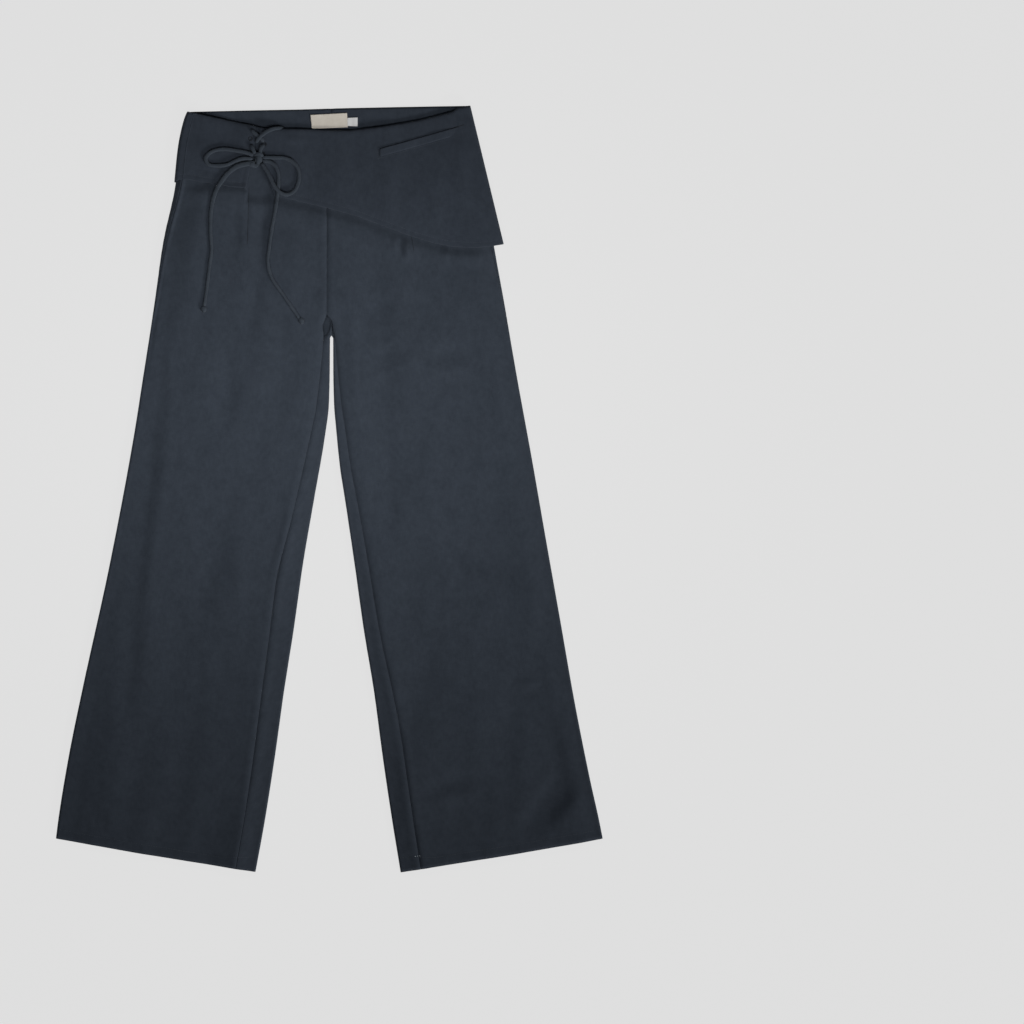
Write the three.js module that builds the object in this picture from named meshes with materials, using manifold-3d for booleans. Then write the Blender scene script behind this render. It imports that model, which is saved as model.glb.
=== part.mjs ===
// Layered wide-leg trousers, laid flat with the front up. A short slanting overlay is sewn into the
// waist all round, and its two front pieces are laced together with a cloth tie.
// Millimetres. X is across, Y goes up to the waist and Z is away from the surface it lies on.
// The wearer's right is at minus X. "down" is a distance below the highest point of the waist.
import * as THREE from 'three';
import Module from 'manifold-3d';

const wasm = await Module();
wasm.setup();

const LENGTH = 1042; // from the highest point of the waist to the lowest hem corner
const CLOTH = 1.3; // thickness of one layer
const SEAM = 0.3; // space between two pieces
const HALF_SEAM = SEAM / 2;
const LAYER = CLOTH + SEAM; // how far one layer lies above the one below it
const FOLD = 2.6; // radius of a trouser fold at the middle of the cloth
const LAP_FOLD = FOLD + LAYER; // radius of the overlay's fold, which goes round the trouser fold
const FLAT_RISE = 1.7; // how far the front lies above the back away from the folds
const GROUND = CLOTH / 2; // height of the middle of a layer that rests on the surface
const BUNCH = 0.25; // least distance between two lines of points
const FULL_HEIGHT = 2 * FOLD;
const CENTRE_BACK = 2.5;
const CENTRE_FRONT = -3.7;

// Folds stand up and the cloth sinks away from them: distance in from the edge, and height there.
const SINK = [
  { from: FOLD + CLOTH / 2, rise: FULL_HEIGHT },
  { from: 10, rise: 4.9 },
  { from: 22, rise: 4.0 },
  { from: 40, rise: 3.0 },
  { from: 65, rise: FLAT_RISE },
];
const SINK_STARTS = 250; // the inner folds grow between these two distances below the top
const SINK_FULL = 304;

// Outer and inner edge of each leg, as distances from the middle line toward that leg's side.
const RIGHT_OUTER = [
  { down: 0, out: 187.6 },
  { down: 20, out: 196.4 },
  { down: 57, out: 204.2 },
  { down: 103, out: 208.7 },
  { down: 188, out: 226.4 },
  { down: 275, out: 238.8 },
  { down: 362, out: 252.3 },
  { down: 449, out: 265.9 },
  { down: 623, out: 298.6 },
  { down: 797, out: 336.6 },
  { down: 884, out: 354.3 },
  { down: 971, out: 368.6 },
  { down: 1042, out: 377 },
];
const RIGHT_INNER = [
  { down: 0, out: HALF_SEAM - CENTRE_BACK },
  { down: 284, out: HALF_SEAM - CENTRE_BACK },
  { down: 316, out: -1.1 },
  { down: 362, out: -0.6 },
  { down: 405, out: 0.7 },
  { down: 449, out: 6.1 },
  { down: 536, out: 21.1 },
  { down: 623, out: 36 },
  { down: 710, out: 48.3 },
  { down: 797, out: 61.9 },
  { down: 884, out: 74.1 },
  { down: 971, out: 87.7 },
  { down: 1042, out: 100.6 },
];
const LEFT_OUTER = [
  { down: 0, out: 189.4 },
  { down: 57, out: 200 },
  { down: 193, out: 223.7 },
  { down: 275, out: 238.7 },
  { down: 373, out: 255.5 },
  { down: 481, out: 275.2 },
  { down: 590, out: 294.2 },
  { down: 699, out: 313.5 },
  { down: 808, out: 332.6 },
  { down: 917, out: 354.3 },
  { down: 971, out: 366.3 },
  { down: 1042, out: 380 },
];
const LEFT_INNER = [
  { down: 0, out: CENTRE_BACK + HALF_SEAM },
  { down: 284, out: CENTRE_BACK + HALF_SEAM },
  { down: 316, out: 4.5 },
  { down: 362, out: 4.8 },
  { down: 405, out: 6.1 },
  { down: 438, out: 8.8 },
  { down: 492, out: 14.3 },
  { down: 536, out: 21.1 },
  { down: 623, out: 34 },
  { down: 710, out: 46.2 },
  { down: 797, out: 60.5 },
  { down: 884, out: 72.1 },
  { down: 971, out: 85 },
  { down: 1042, out: 96.6 },
];

// How far each seam lies from its fold, as seen from above: on the front if it is more than 0.
const RIGHT_SIDE_SEAM = [
  { down: 0, from: 10 },
  { down: 105, from: 8.2 },
  { down: 231, from: 2.8 },
  { down: 300, from: 0.3 },
  { down: 520, from: -3 },
  { down: 808, from: -10 },
  { down: 1042, from: -10 },
];
const LEFT_SIDE_SEAM = [
  { down: 0, from: 4 },
  { down: 193, from: 4 },
  { down: 305, from: 0.3 },
  { down: 420, from: -3 },
  { down: 1042, from: -3 },
];
const RIGHT_INSEAM = [
  { down: 322, from: 9 },
  { down: 438, from: 19.3 },
  { down: 562, from: 26 },
  { down: 653, from: 33 },
  { down: 806, from: 30 },
  { down: 1042, from: 28 },
];
const LEFT_INSEAM = [
  { down: 322, from: 3 },
  { down: 438, from: 12.4 },
  { down: 545, from: 16.6 },
  { down: 737, from: 22 },
  { down: 884, from: 29 },
  { down: 1042, from: 28 },
];

// Where the legs part. The front's edges move away from each other and the back curls up between
// them: curl is 0 where it lies flat and 1 where it is folded over, strip is what shows on the front.
const RIGHT_CROTCH = [
  { down: 284, edge: -CENTRE_FRONT + HALF_SEAM, curl: 0, strip: FOLD },
  { down: 292, edge: 7, curl: 0.3, strip: FOLD },
  { down: 298, edge: 9.5, curl: 0.75, strip: FOLD },
  { down: 304, edge: 9.2, curl: 1, strip: FOLD },
  { down: 309, edge: 8.4, curl: 1, strip: 5 },
  { down: 315.5, edge: 7.7, curl: 1, strip: 8.4 },
  { down: 322, edge: 8.05, curl: 1, strip: 9 },
];
const LEFT_CROTCH = [
  { down: 284, edge: CENTRE_FRONT + HALF_SEAM, curl: 0, strip: FOLD },
  { down: 292, edge: 3.2, curl: 0, strip: FOLD },
  { down: 298, edge: 4.2, curl: 0, strip: FOLD },
  { down: 304, edge: 5.2, curl: 0, strip: FOLD },
  { down: 309, edge: 6.8, curl: 0.25, strip: FOLD },
  { down: 315.5, edge: 7.6, curl: 0.7, strip: 2.8 },
  { down: 322, edge: 7.65, curl: 1, strip: 3 },
];

// Edges that go across, as distances below the top at each X.
const FRONT_WAIST = [
  { x: -192, down: 9 },
  { x: -154, down: 17 },
  { x: -104, down: 27.5 },
  { x: -88, down: 31.5 },
  { x: -26, down: 32.5 },
  { x: 8, down: 34 },
  { x: 28, down: 34 },
  { x: 69, down: 29.2 },
  { x: 123, down: 19.7 },
  { x: 171, down: 8.2 },
  { x: 192, down: 0.6 },
];
const BACK_WAIST = [
  { x: -192, down: 8.6 },
  { x: -120, down: 7 },
  { x: -40, down: 5.4 },
  { x: 28, down: 3.4 },
  { x: 96, down: 2 },
  { x: 192, down: 0.4 },
];
const LAP_BACK_HEM = [
  { x: -211, down: 104 },
  { x: -169, down: 114 },
  { x: -119, down: 123.8 },
  { x: -58, down: 138.7 },
  { x: -5, down: 156.4 },
  { x: 48, down: 178.2 },
  { x: 86, down: 190.4 },
  { x: 139, down: 198.6 },
  { x: 186, down: 195.8 },
  { x: 236, down: 188.4 },
];
const LAP_RIGHT_HEM = [
  { x: -211, down: 104 },
  { x: -203, down: 101.3 },
  { x: -194, down: 100.6 },
  { x: -168, down: 105.3 },
  { x: -149, down: 107.4 },
  { x: -135, down: 111 },
  { x: -113, down: 112.3 },
];
const LAP_LEFT_HEM = [
  { x: -76, down: 122.4 },
  { x: -54, down: 127.2 },
  { x: -2, down: 140 },
  { x: 37, down: 150.6 },
  { x: 74, down: 164.3 },
  { x: 111, down: 177.9 },
  { x: 142, down: 187.1 },
  { x: 165, down: 191.8 },
  { x: 198, down: 193.9 },
  { x: 220, down: 191.8 },
  { x: 236, down: 188.4 },
];
const HEM = [
  { out: 96, down: 1041.8 },
  { out: 140, down: 1034.5 },
  { out: 250, down: 1017 },
  { out: 372, down: 995.6 },
];

// The overlay's own side edges.
const LAP_RIGHT_OUTER = [
  { down: 0, out: 189.2 },
  { down: 20, out: 198 },
  { down: 57, out: 206 },
  { down: 103, out: 210.8 },
];
const LAP_LEFT_OUTER = [
  { down: 0, out: 191.2 },
  { down: 188, out: 236.6 },
];
const LAP_RIGHT_FREE = [
  { down: 28, out: 100 },
  { down: 60, out: 102 },
  { down: 87, out: 108.1 },
  { down: 112, out: 113.2 },
];
const LAP_LEFT_FREE = [
  { down: 30, out: -95.2 },
  { down: 60, out: -95.2 },
  { down: 80, out: -89.8 },
  { down: 124, out: -75.5 },
];
const LAP_SEAM_IN = 11; // the overlay's left side seam lies this far in from the fold, on the back

// Lines across the trousers, from the waist to the hem.
const LAP_ROWS = 5; // steps between the waist and just past the overlay's hem
const PAST_HEM = 6;
const OFF_HEM = 30; // here the trousers have come down from the overlay to the surface
const LEVEL_ROWS = [250, 284, 292, 298, 304, 309, 315.5, 322, 345];
const LEG_ROWS = 13;
const LEG_TOP = LEVEL_ROWS[LEVEL_ROWS.length - 1];
const ROW_COUNT = LAP_ROWS + 2 + LEVEL_ROWS.length + LEG_ROWS;
const OVERLAY_ROWS = 8;
const ARC_STEPS = 6;

const WELT = { left: 68.4, right: 185, leftDown: 64.6, rightDown: 32, deep: 10.5, thick: 1 };
const LABEL_THICK = 0.6;
const MAIN_LABEL = [
  { x: -26, down: 12.6 },
  { x: 23.7, down: 9.9 },
  { x: 25, down: 29.6 },
  { x: -24, down: 31.6 },
];
const SIZE_TAB = [
  { x: 25.6, down: 16.6 },
  { x: 38.2, down: 16 },
  { x: 38.2, down: 28.2 },
  { x: 25.9, down: 27.6 },
];

// The tie is a flattened cloth tube.
const TIE_WIDE = 5.2;
const TIE_THICK = 2.4;
const TIE_SIDES = 8;
const TIE_STEP = 9;
const EYELETS = {
  right: [
    { x: -107.3, down: 45.6 },
    { x: -107.7, down: 63.9 },
  ],
  left: [
    { x: -88.4, down: 52.8 },
    { x: -90.2, down: 66.2 },
  ],
};
const EYELET_RADIUS = 2.1;
const EYELET_SIDES = 12;
const KNOT = { x: -97.2, down: 73.4, across: 6.2, along: 6.8, high: 3.4 };
const END_KNOT = { across: 3.6, along: 4.4, high: 2.4 };
const TAIL_ENDS = { right: { x: -170.4, down: 277.4 }, left: { x: -38, down: 293.4 } };

// Middle lines of the tie's stretches. lift is how far a point is raised to pass over another.
const CROSS_RIGHT = [
  { x: -103.5, down: 33.5, lift: 0 },
  { x: -99.4, down: 37.5, lift: 0 },
  { x: -93.5, down: 45, lift: 0 },
  { x: -90.4, down: 49.5, lift: 0 },
];
const CROSS_LEFT = [
  { x: -84.5, down: 34.5, lift: 0.6 },
  { x: -90, down: 38, lift: 2.7 },
  { x: -96, down: 42.5, lift: 2.7 },
  { x: -101, down: 46.4, lift: 2.4 },
  { x: -104.8, down: 47.4, lift: 0.6 },
];
const LEAD_RIGHT = [
  { x: -104.6, down: 53.8, lift: 0 },
  { x: -103.6, down: 58.5, lift: 0.4 },
  { x: -101, down: 64, lift: 0.8 },
];
const LEAD_LEFT = [
  { x: -91.4, down: 55.4, lift: 0 },
  { x: -92, down: 59, lift: 0.4 },
  { x: -93.6, down: 64, lift: 0.8 },
];
const LOOP_RIGHT = [
  { x: -105.2, down: 66.4, lift: 0.4 },
  { x: -123.6, down: 62.6, lift: 0 },
  { x: -144.3, down: 60.1, lift: 0 },
  { x: -160, down: 63.8, lift: 0 },
  { x: -168, down: 72.4, lift: 0 },
  { x: -164.4, down: 80.4, lift: 0 },
  { x: -155, down: 82.4, lift: 0 },
  { x: -139.4, down: 81.4, lift: 0 },
  { x: -128.5, down: 76.5, lift: 0 },
  { x: -117.6, down: 72.8, lift: 0 },
  { x: -105.6, down: 73, lift: 0.4 },
];
const LOOP_LEFT = [
  { x: -89.4, down: 70, lift: 0.4 },
  { x: -75, down: 71.4, lift: 0 },
  { x: -60.5, down: 72, lift: 0 },
  { x: -50, down: 77, lift: 0 },
  { x: -43, down: 85.7, lift: 0 },
  { x: -41, down: 96, lift: 0 },
  { x: -42.8, down: 107.4, lift: 0 },
  { x: -48, down: 117, lift: 0.8 },
  { x: -56.8, down: 122, lift: 2.7 },
  { x: -66, down: 119.6, lift: 3 },
  { x: -74, down: 111.6, lift: 3 },
  { x: -80.4, down: 99, lift: 2 },
  { x: -86, down: 88.5, lift: 0.6 },
  { x: -91.8, down: 82.2, lift: 0.3 },
];
const TAIL_RIGHT = [
  { x: -105, down: 79.6, lift: 0 },
  { x: -113, down: 80.2, lift: 0 },
  { x: -124, down: 83, lift: 0 },
  { x: -135.9, down: 91, lift: 0 },
  { x: -145.5, down: 102.5, lift: 0 },
  { x: -154, down: 117, lift: 0 },
  { x: -160, down: 140, lift: 0 },
  { x: -161.3, down: 170, lift: 0 },
  { x: -160, down: 198.6, lift: 0 },
  { x: -162.5, down: 217.6, lift: 0 },
  { x: -166.2, down: 247.5, lift: 0 },
  { x: -169.6, down: 272, lift: 0 },
];
const TAIL_LEFT = [
  { x: -88.8, down: 76.4, lift: 0.2 },
  { x: -80, down: 77.6, lift: 0 },
  { x: -73.4, down: 83, lift: 0 },
  { x: -69.6, down: 93, lift: 0 },
  { x: -69, down: 106, lift: 0 },
  { x: -70.6, down: 123.8, lift: 0 },
  { x: -73, down: 140, lift: 0 },
  { x: -78, down: 168, lift: 0 },
  { x: -82, down: 196, lift: 0 },
  { x: -83.6, down: 213, lift: 0 },
  { x: -78.5, down: 234, lift: 0 },
  { x: -61, down: 260, lift: 0 },
  { x: -41.6, down: 288.4, lift: 0 },
];

const COLOURS = { cloth: 0x39414b, overlay: 0x353d47, tie: 0x414954, label: 0xc9bfae, tab: 0xe9e9e6 };

function lerp(a, b, t) {
  return a + (b - a) * t;
}

function clamp(value, low, high) {
  return Math.min(Math.max(value, low), high);
}

// Straight lines between the rows of a table.
function along(rows, key, name, at) {
  let i = 1;
  while (i < rows.length - 1 && rows[i][key] < at) {
    i += 1;
  }
  const low = rows[i - 1];
  const high = rows[i];
  const t = clamp((at - low[key]) / (high[key] - low[key]), 0, 1);
  return lerp(low[name], high[name], t);
}

// A smooth line through the rows of a table, which never goes past its rows.
function smooth(rows, key, name, at) {
  let i = 1;
  while (i < rows.length - 1 && rows[i][key] < at) {
    i += 1;
  }
  const step = (k) => (rows[k][name] - rows[k - 1][name]) / (rows[k][key] - rows[k - 1][key]);
  const slope = (k) => {
    const before = step(Math.max(k, 1));
    const after = step(Math.min(k + 1, rows.length - 1));
    return before * after > 0 ? (2 * before * after) / (before + after) : 0;
  };
  const low = rows[i - 1];
  const high = rows[i];
  const span = high[key] - low[key];
  const t = clamp((at - low[key]) / span, 0, 1);
  const t2 = t * t;
  const t3 = t2 * t;
  const start = (2 * t3 - 3 * t2 + 1) * low[name] + (t3 - 2 * t2 + t) * span * slope(i - 1);
  return start + (3 * t2 - 2 * t3) * high[name] + (t3 - t2) * span * slope(i);
}

// Length of cloth from a fold's edge to a point that lies this far in as seen from above.
function arcOf(from, radius) {
  const size = Math.max(Math.abs(from) - CLOTH / 2, 0);
  const bent = radius * Math.acos(1 - Math.min(size, radius) / radius);
  return Math.sign(from) * (size > radius ? size - radius + (Math.PI / 2) * radius : bent);
}

const RIGHT = {
  side: -1,
  outer: RIGHT_OUTER,
  inner: RIGHT_INNER,
  sideSeam: RIGHT_SIDE_SEAM,
  inseam: RIGHT_INSEAM,
  crotch: RIGHT_CROTCH,
  centre: -CENTRE_FRONT + HALF_SEAM,
};
const LEFT = {
  side: 1,
  outer: LEFT_OUTER,
  inner: LEFT_INNER,
  sideSeam: LEFT_SIDE_SEAM,
  inseam: LEFT_INSEAM,
  crotch: LEFT_CROTCH,
  centre: CENTRE_FRONT + HALF_SEAM,
};
const CROTCH_TOP = RIGHT_CROTCH[0].down;
const CROTCH_END = RIGHT_CROTCH[RIGHT_CROTCH.length - 1].down;

// Height of the front layer above the back layer, at a distance out from the middle line.
function rise(leg, out, down) {
  const outer = smooth(leg.outer, 'down', 'out', down);
  const inner = smooth(leg.inner, 'down', 'out', down);
  const grown = clamp((down - SINK_STARTS) / (SINK_FULL - SINK_STARTS), 0, 1);
  const atOuter = along(SINK, 'from', 'rise', outer - out);
  const atInner = along(SINK, 'from', 'rise', Math.max(out - inner, SINK[0].from));
  return Math.max(atOuter, FLAT_RISE + (atInner - FLAT_RISE) * grown);
}

// Facts of one leg at one distance below the top.
function section(leg, down) {
  const outer = smooth(leg.outer, 'down', 'out', down);
  const inner = smooth(leg.inner, 'down', 'out', down);
  const bend = outer - CLOTH / 2 - FOLD;
  const seam = arcOf(along(leg.sideSeam, 'down', 'from', down), FOLD);
  const low = down < CROTCH_END;
  const row = (name) => along(leg.crotch, 'down', name, down);
  const strip = low ? row('strip') : smooth(leg.inseam, 'down', 'from', down);
  const curl = low ? row('curl') : 1;
  const turned = (Math.PI / 2) * FOLD + arcOf(strip, FOLD) - HALF_SEAM;
  const curled = curl * Math.min(turned / FOLD, Math.PI);
  const quarter = Math.min(curled, Math.PI / 2);
  const reach = curl > 0 ? (FOLD / curl) * Math.sin(quarter) : turned;
  const base = inner + (CLOTH / 2) * Math.sin(quarter) + reach;
  let edge = inner + strip + HALF_SEAM;
  if (low) {
    edge = down < CROTCH_TOP ? leg.centre : row('edge');
  }
  return { outer, inner, bend, seam, curl, turned, base, edge };
}

// A point on the back layer. place counts outward along the cloth.
function onBack(leg, cut, place, down, ground) {
  const turn = Math.PI * FOLD;
  if (place > cut.bend + turn) {
    const out = cut.bend - (place - cut.bend - turn);
    return { out, z: ground + rise(leg, out, down), nx: 0, nz: 1 };
  }
  if (place > cut.bend) {
    const a = (place - cut.bend) / FOLD;
    const out = cut.bend + FOLD * Math.sin(a);
    return { out, z: ground + FOLD * (1 - Math.cos(a)), nx: Math.sin(a), nz: -Math.cos(a) };
  }
  if (place >= cut.base || cut.curl < 0.01) {
    return { out: place, z: ground, nx: 0, nz: -1 };
  }
  const gone = cut.base - place;
  const radius = FOLD / cut.curl;
  const a = Math.min(gone, turn) / radius;
  const rest = Math.max(gone - turn, 0);
  const out = cut.base - radius * Math.sin(a) - rest * Math.cos(a);
  const round = ground + radius * (1 - Math.cos(a)) + rest * Math.sin(a);
  const z = rest > 0 && cut.curl > 0.99 ? ground + rise(leg, out, down) : round;
  return { out, z, nx: -Math.sin(a), nz: -Math.cos(a) };
}

// A point on the front layer, which may go on round the outer fold.
function onFront(leg, cut, place, down, ground) {
  if (place <= cut.bend) {
    return { out: place, z: ground + rise(leg, place, down), nx: 0, nz: 1 };
  }
  const turn = Math.PI * FOLD;
  if (place > cut.bend + turn) {
    return { out: cut.bend - (place - cut.bend - turn), z: ground, nx: 0, nz: -1 };
  }
  const a = (place - cut.bend) / FOLD;
  const out = cut.bend + FOLD * Math.sin(a);
  return { out, z: ground + FOLD * (1 + Math.cos(a)), nx: Math.sin(a), nz: Math.cos(a) };
}

// Keeps the lines of points in order between the two ends of a piece.
function between(start, end, places) {
  const all = [start, ...places, end];
  const last = all.length - 1;
  return all.map((v, k) => clamp(v, start + k * BUNCH, end - (last - k) * BUNCH));
}

function backPlaces(cut) {
  const turn = Math.PI * FOLD;
  const half = turn / 2;
  const inStrip = [SINK[2].from, SINK[1].from].map((f) => cut.base - half - arcOf(f, FOLD));
  const inArc = [6, 5, 4, 3, 2, 1, 0].map((k) => cut.base - (turn * k) / ARC_STEPS);
  const run = [1, 2, 3, 4, 5].map((k) => lerp(cut.base, cut.bend, k / 6));
  const outArc = [0, 1, 2, 3, 4, 5, 6].map((k) => cut.bend + (turn * k) / ARC_STEPS);
  const outStrip = cut.bend + turn + SINK[1].from - SINK[0].from;
  const start = cut.base - cut.turned;
  const end = cut.bend + half + cut.seam - HALF_SEAM;
  return between(start, end, [...inStrip, ...inArc, ...run, ...outArc, outStrip]);
}

function frontPlaces(cut) {
  const turn = Math.PI * FOLD;
  const marks = SINK.slice(1).map((row) => row.from);
  const inner = marks.map((f) => cut.inner + f);
  const deepest = SINK[SINK.length - 1].from;
  const mid = [1, 2].map((k) => lerp(cut.inner + deepest, cut.outer - deepest, k / 3));
  const outer = marks.map((f) => cut.outer - f).reverse();
  const arc = [0, 1, 2, 3, 4, 5, 6].map((k) => cut.bend + (turn * k) / ARC_STEPS);
  const end = cut.bend + turn / 2 - cut.seam - HALF_SEAM;
  return between(cut.edge, end, [...inner, ...mid, ...outer, ...arc, cut.bend + turn + 6]);
}

// Distance below the top of a row of points.
function rowDown(row, x, out, top) {
  const lap = along(LAP_BACK_HEM, 'x', 'down', x);
  if (row <= LAP_ROWS) {
    return lerp(top, lap + PAST_HEM, row / LAP_ROWS);
  }
  if (row === LAP_ROWS + 1) {
    return lap + OFF_HEM;
  }
  const level = row - LAP_ROWS - 2;
  if (level < LEVEL_ROWS.length) {
    return LEVEL_ROWS[level];
  }
  const share = (level - LEVEL_ROWS.length + 1) / LEG_ROWS;
  return lerp(LEG_TOP, along(HEM, 'out', 'down', out), share);
}

function groundOf(row) {
  return row <= LAP_ROWS ? GROUND + LAYER : GROUND;
}

// The waist line at a point: the front's on the front and the back's on the back.
function waistAt(x, nz) {
  const front = along(FRONT_WAIST, 'x', 'down', x);
  const back = along(BACK_WAIST, 'x', 'down', x);
  return lerp(back, front, (nz + 1) / 2);
}

// Finds the point of a row and a line of points, by going round a few times.
function settle(first, pointAt, downAt) {
  let down = first;
  let spot = pointAt(down);
  for (let k = 0; k < 4; k += 1) {
    down = downAt(spot);
    spot = pointAt(down);
  }
  return { ...spot, down };
}

function trouserPiece(leg, placesOf, onLayer, facing) {
  const count = placesOf(section(leg, LEG_TOP)).length;
  const spotAt = (row, column) => {
    const ground = groundOf(row);
    const pointAt = (down) => {
      const cut = section(leg, down);
      const spot = onLayer(leg, cut, placesOf(cut)[column], down, ground);
      return { ...spot, x: leg.side * spot.out };
    };
    const downAt = (spot) => {
      const folded = facing > 0 || spot.out > 100 ? spot.nz : -1;
      return rowDown(row, spot.x, spot.out, waistAt(spot.x, folded));
    };
    return settle(rowDown(row, 0, 200, 20), pointAt, downAt);
  };
  return sheet(ROW_COUNT, count, spotAt, leg.side);
}

// The overlay goes round the same folds a layer further out, over the trousers.
function lapSection(leg, outerRows, down) {
  const outer = smooth(outerRows, 'down', 'out', down);
  const trouser = smooth(leg.outer, 'down', 'out', down);
  return { outer, trouser, bend: outer - CLOTH / 2 - LAP_FOLD };
}

function onLap(leg, cut, place, down) {
  const turn = Math.PI * LAP_FOLD;
  if (place <= cut.bend) {
    const own = place < 0 ? FLAT_RISE : rise(leg, place, Math.min(down, SINK_STARTS));
    return { out: place, z: GROUND + LAYER + LAYER + own, nx: 0, nz: 1 };
  }
  if (place > cut.bend + turn) {
    return { out: cut.bend - (place - cut.bend - turn), z: GROUND, nx: 0, nz: -1 };
  }
  const a = (place - cut.bend) / LAP_FOLD;
  const out = cut.bend + LAP_FOLD * Math.sin(a);
  return { out, z: GROUND + LAP_FOLD * (1 + Math.cos(a)), nx: Math.sin(a), nz: Math.cos(a) };
}

function lapPiece(leg, outerRows, placesOf, hemOf) {
  const count = placesOf(60).length;
  const spotAt = (row, column) => {
    const pointAt = (down) => {
      const cut = lapSection(leg, outerRows, down);
      const spot = onLap(leg, cut, placesOf(down)[column], down);
      return { ...spot, x: leg.side * spot.out };
    };
    const downAt = (spot) => lerp(waistAt(spot.x, spot.nz), hemOf(spot), row / OVERLAY_ROWS);
    return settle(60, pointAt, downAt);
  };
  return sheet(OVERLAY_ROWS + 1, count, spotAt, leg.side);
}

function lapMarks(cut) {
  return [...SINK].reverse().map((row) => cut.trouser - row.from);
}

function lapLeftPlaces(down) {
  const cut = lapSection(LEFT, LAP_LEFT_OUTER, down);
  const turn = Math.PI * LAP_FOLD;
  const start = along(LAP_LEFT_FREE, 'down', 'out', down);
  const seam = arcOf(LAP_SEAM_IN, LAP_FOLD);
  const mid = [-65, -35, CENTRE_FRONT, 25, 55, 85, 105];
  const arc = [0, 1, 2, 3, 4, 5, 6].map((k) => cut.bend + (turn * k) / ARC_STEPS);
  const end = cut.bend + turn / 2 + seam - HALF_SEAM;
  return between(start, end, [...mid, ...lapMarks(cut), ...arc]);
}

function lapRightPlaces(down) {
  const cut = lapSection(RIGHT, LAP_RIGHT_OUTER, down);
  const turn = Math.PI * LAP_FOLD;
  const start = along(LAP_RIGHT_FREE, 'down', 'out', down);
  const arc = [1, 2].map((k) => cut.bend + (turn * k) / ARC_STEPS);
  const end = cut.bend + turn / 2 - HALF_SEAM;
  return between(start, end, [118, 128, ...lapMarks(cut), ...arc]);
}

function lapBackPlaces(down) {
  const cut = lapSection(RIGHT, LAP_RIGHT_OUTER, down);
  const far = lapSection(LEFT, LAP_LEFT_OUTER, down);
  const turn = Math.PI * LAP_FOLD;
  const end = cut.bend + turn / 2 - HALF_SEAM;
  const start = -(far.outer - LAP_SEAM_IN - HALF_SEAM);
  const run = LAP_BACK_HEM.slice(1, 9).map((row) => -row.x);
  const arc = [0, 1, 2].map((k) => cut.bend + (turn * k) / ARC_STEPS);
  return between(start, end, [...run.reverse(), ...arc]);
}

// The back overlay lies on the surface and turns up at the wearer's right.
function lapBackPiece() {
  const count = lapBackPlaces(60).length;
  const spotAt = (row, column) => {
    const pointAt = (down) => {
      const cut = lapSection(RIGHT, LAP_RIGHT_OUTER, down);
      const place = lapBackPlaces(down)[column];
      const a = Math.max(place - cut.bend, 0) / LAP_FOLD;
      const out = Math.min(place, cut.bend) + LAP_FOLD * Math.sin(a);
      const z = GROUND + LAP_FOLD * (1 - Math.cos(a));
      return { out, z, nx: Math.sin(a), nz: -Math.cos(a), x: -out };
    };
    const downAt = (spot) => {
      const hem = along(LAP_BACK_HEM, 'x', 'down', spot.x);
      return lerp(waistAt(spot.x, spot.nz), hem, row / OVERLAY_ROWS);
    };
    return settle(60, pointAt, downAt);
  };
  return sheet(OVERLAY_ROWS + 1, count, spotAt, -1);
}

// A closed solid between the two faces of a sheet of cloth.
function sheet(rows, columns, spotAt, side, thick = CLOTH) {
  const points = [];
  for (let i = 0; i < rows; i += 1) {
    for (let j = 0; j < columns; j += 1) {
      const s = spotAt(i, j);
      const half = thick / 2;
      const y = LENGTH / 2 - s.down;
      points.push([s.x + side * s.nx * half, y, s.z + s.nz * half]);
      points.push([s.x - side * s.nx * half, y, s.z - s.nz * half]);
    }
  }
  const at = (i, j, face) => (i * columns + j) * 2 + face;
  const faces = [];
  const quad = (a, b, c, d) => faces.push([a, b, c], [a, c, d]);
  for (let i = 0; i < rows - 1; i += 1) {
    for (let j = 0; j < columns - 1; j += 1) {
      quad(at(i, j, 0), at(i + 1, j, 0), at(i + 1, j + 1, 0), at(i, j + 1, 0));
      quad(at(i, j, 1), at(i, j + 1, 1), at(i + 1, j + 1, 1), at(i + 1, j, 1));
    }
    const last = columns - 1;
    quad(at(i, 0, 0), at(i, 0, 1), at(i + 1, 0, 1), at(i + 1, 0, 0));
    quad(at(i, last, 0), at(i + 1, last, 0), at(i + 1, last, 1), at(i, last, 1));
  }
  for (let j = 0; j < columns - 1; j += 1) {
    const last = rows - 1;
    quad(at(0, j, 0), at(0, j + 1, 0), at(0, j + 1, 1), at(0, j, 1));
    quad(at(last, j, 0), at(last, j, 1), at(last, j + 1, 1), at(last, j + 1, 0));
  }
  return solid(points, faces);
}

// Turns the faces outward if they are inside out.
function solid(points, faces) {
  let volume = 0;
  for (const [a, b, c] of faces) {
    const [p, q, r] = [points[a], points[b], points[c]];
    volume += p[0] * (q[1] * r[2] - q[2] * r[1]);
    volume += p[1] * (q[2] * r[0] - q[0] * r[2]);
    volume += p[2] * (q[0] * r[1] - q[1] * r[0]);
  }
  const geometry = new THREE.BufferGeometry();
  geometry.setAttribute('position', new THREE.Float32BufferAttribute(points.flat(), 3));
  geometry.setIndex((volume < 0 ? faces.map(([a, b, c]) => [a, c, b]) : faces).flat());
  return geometry;
}

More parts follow.
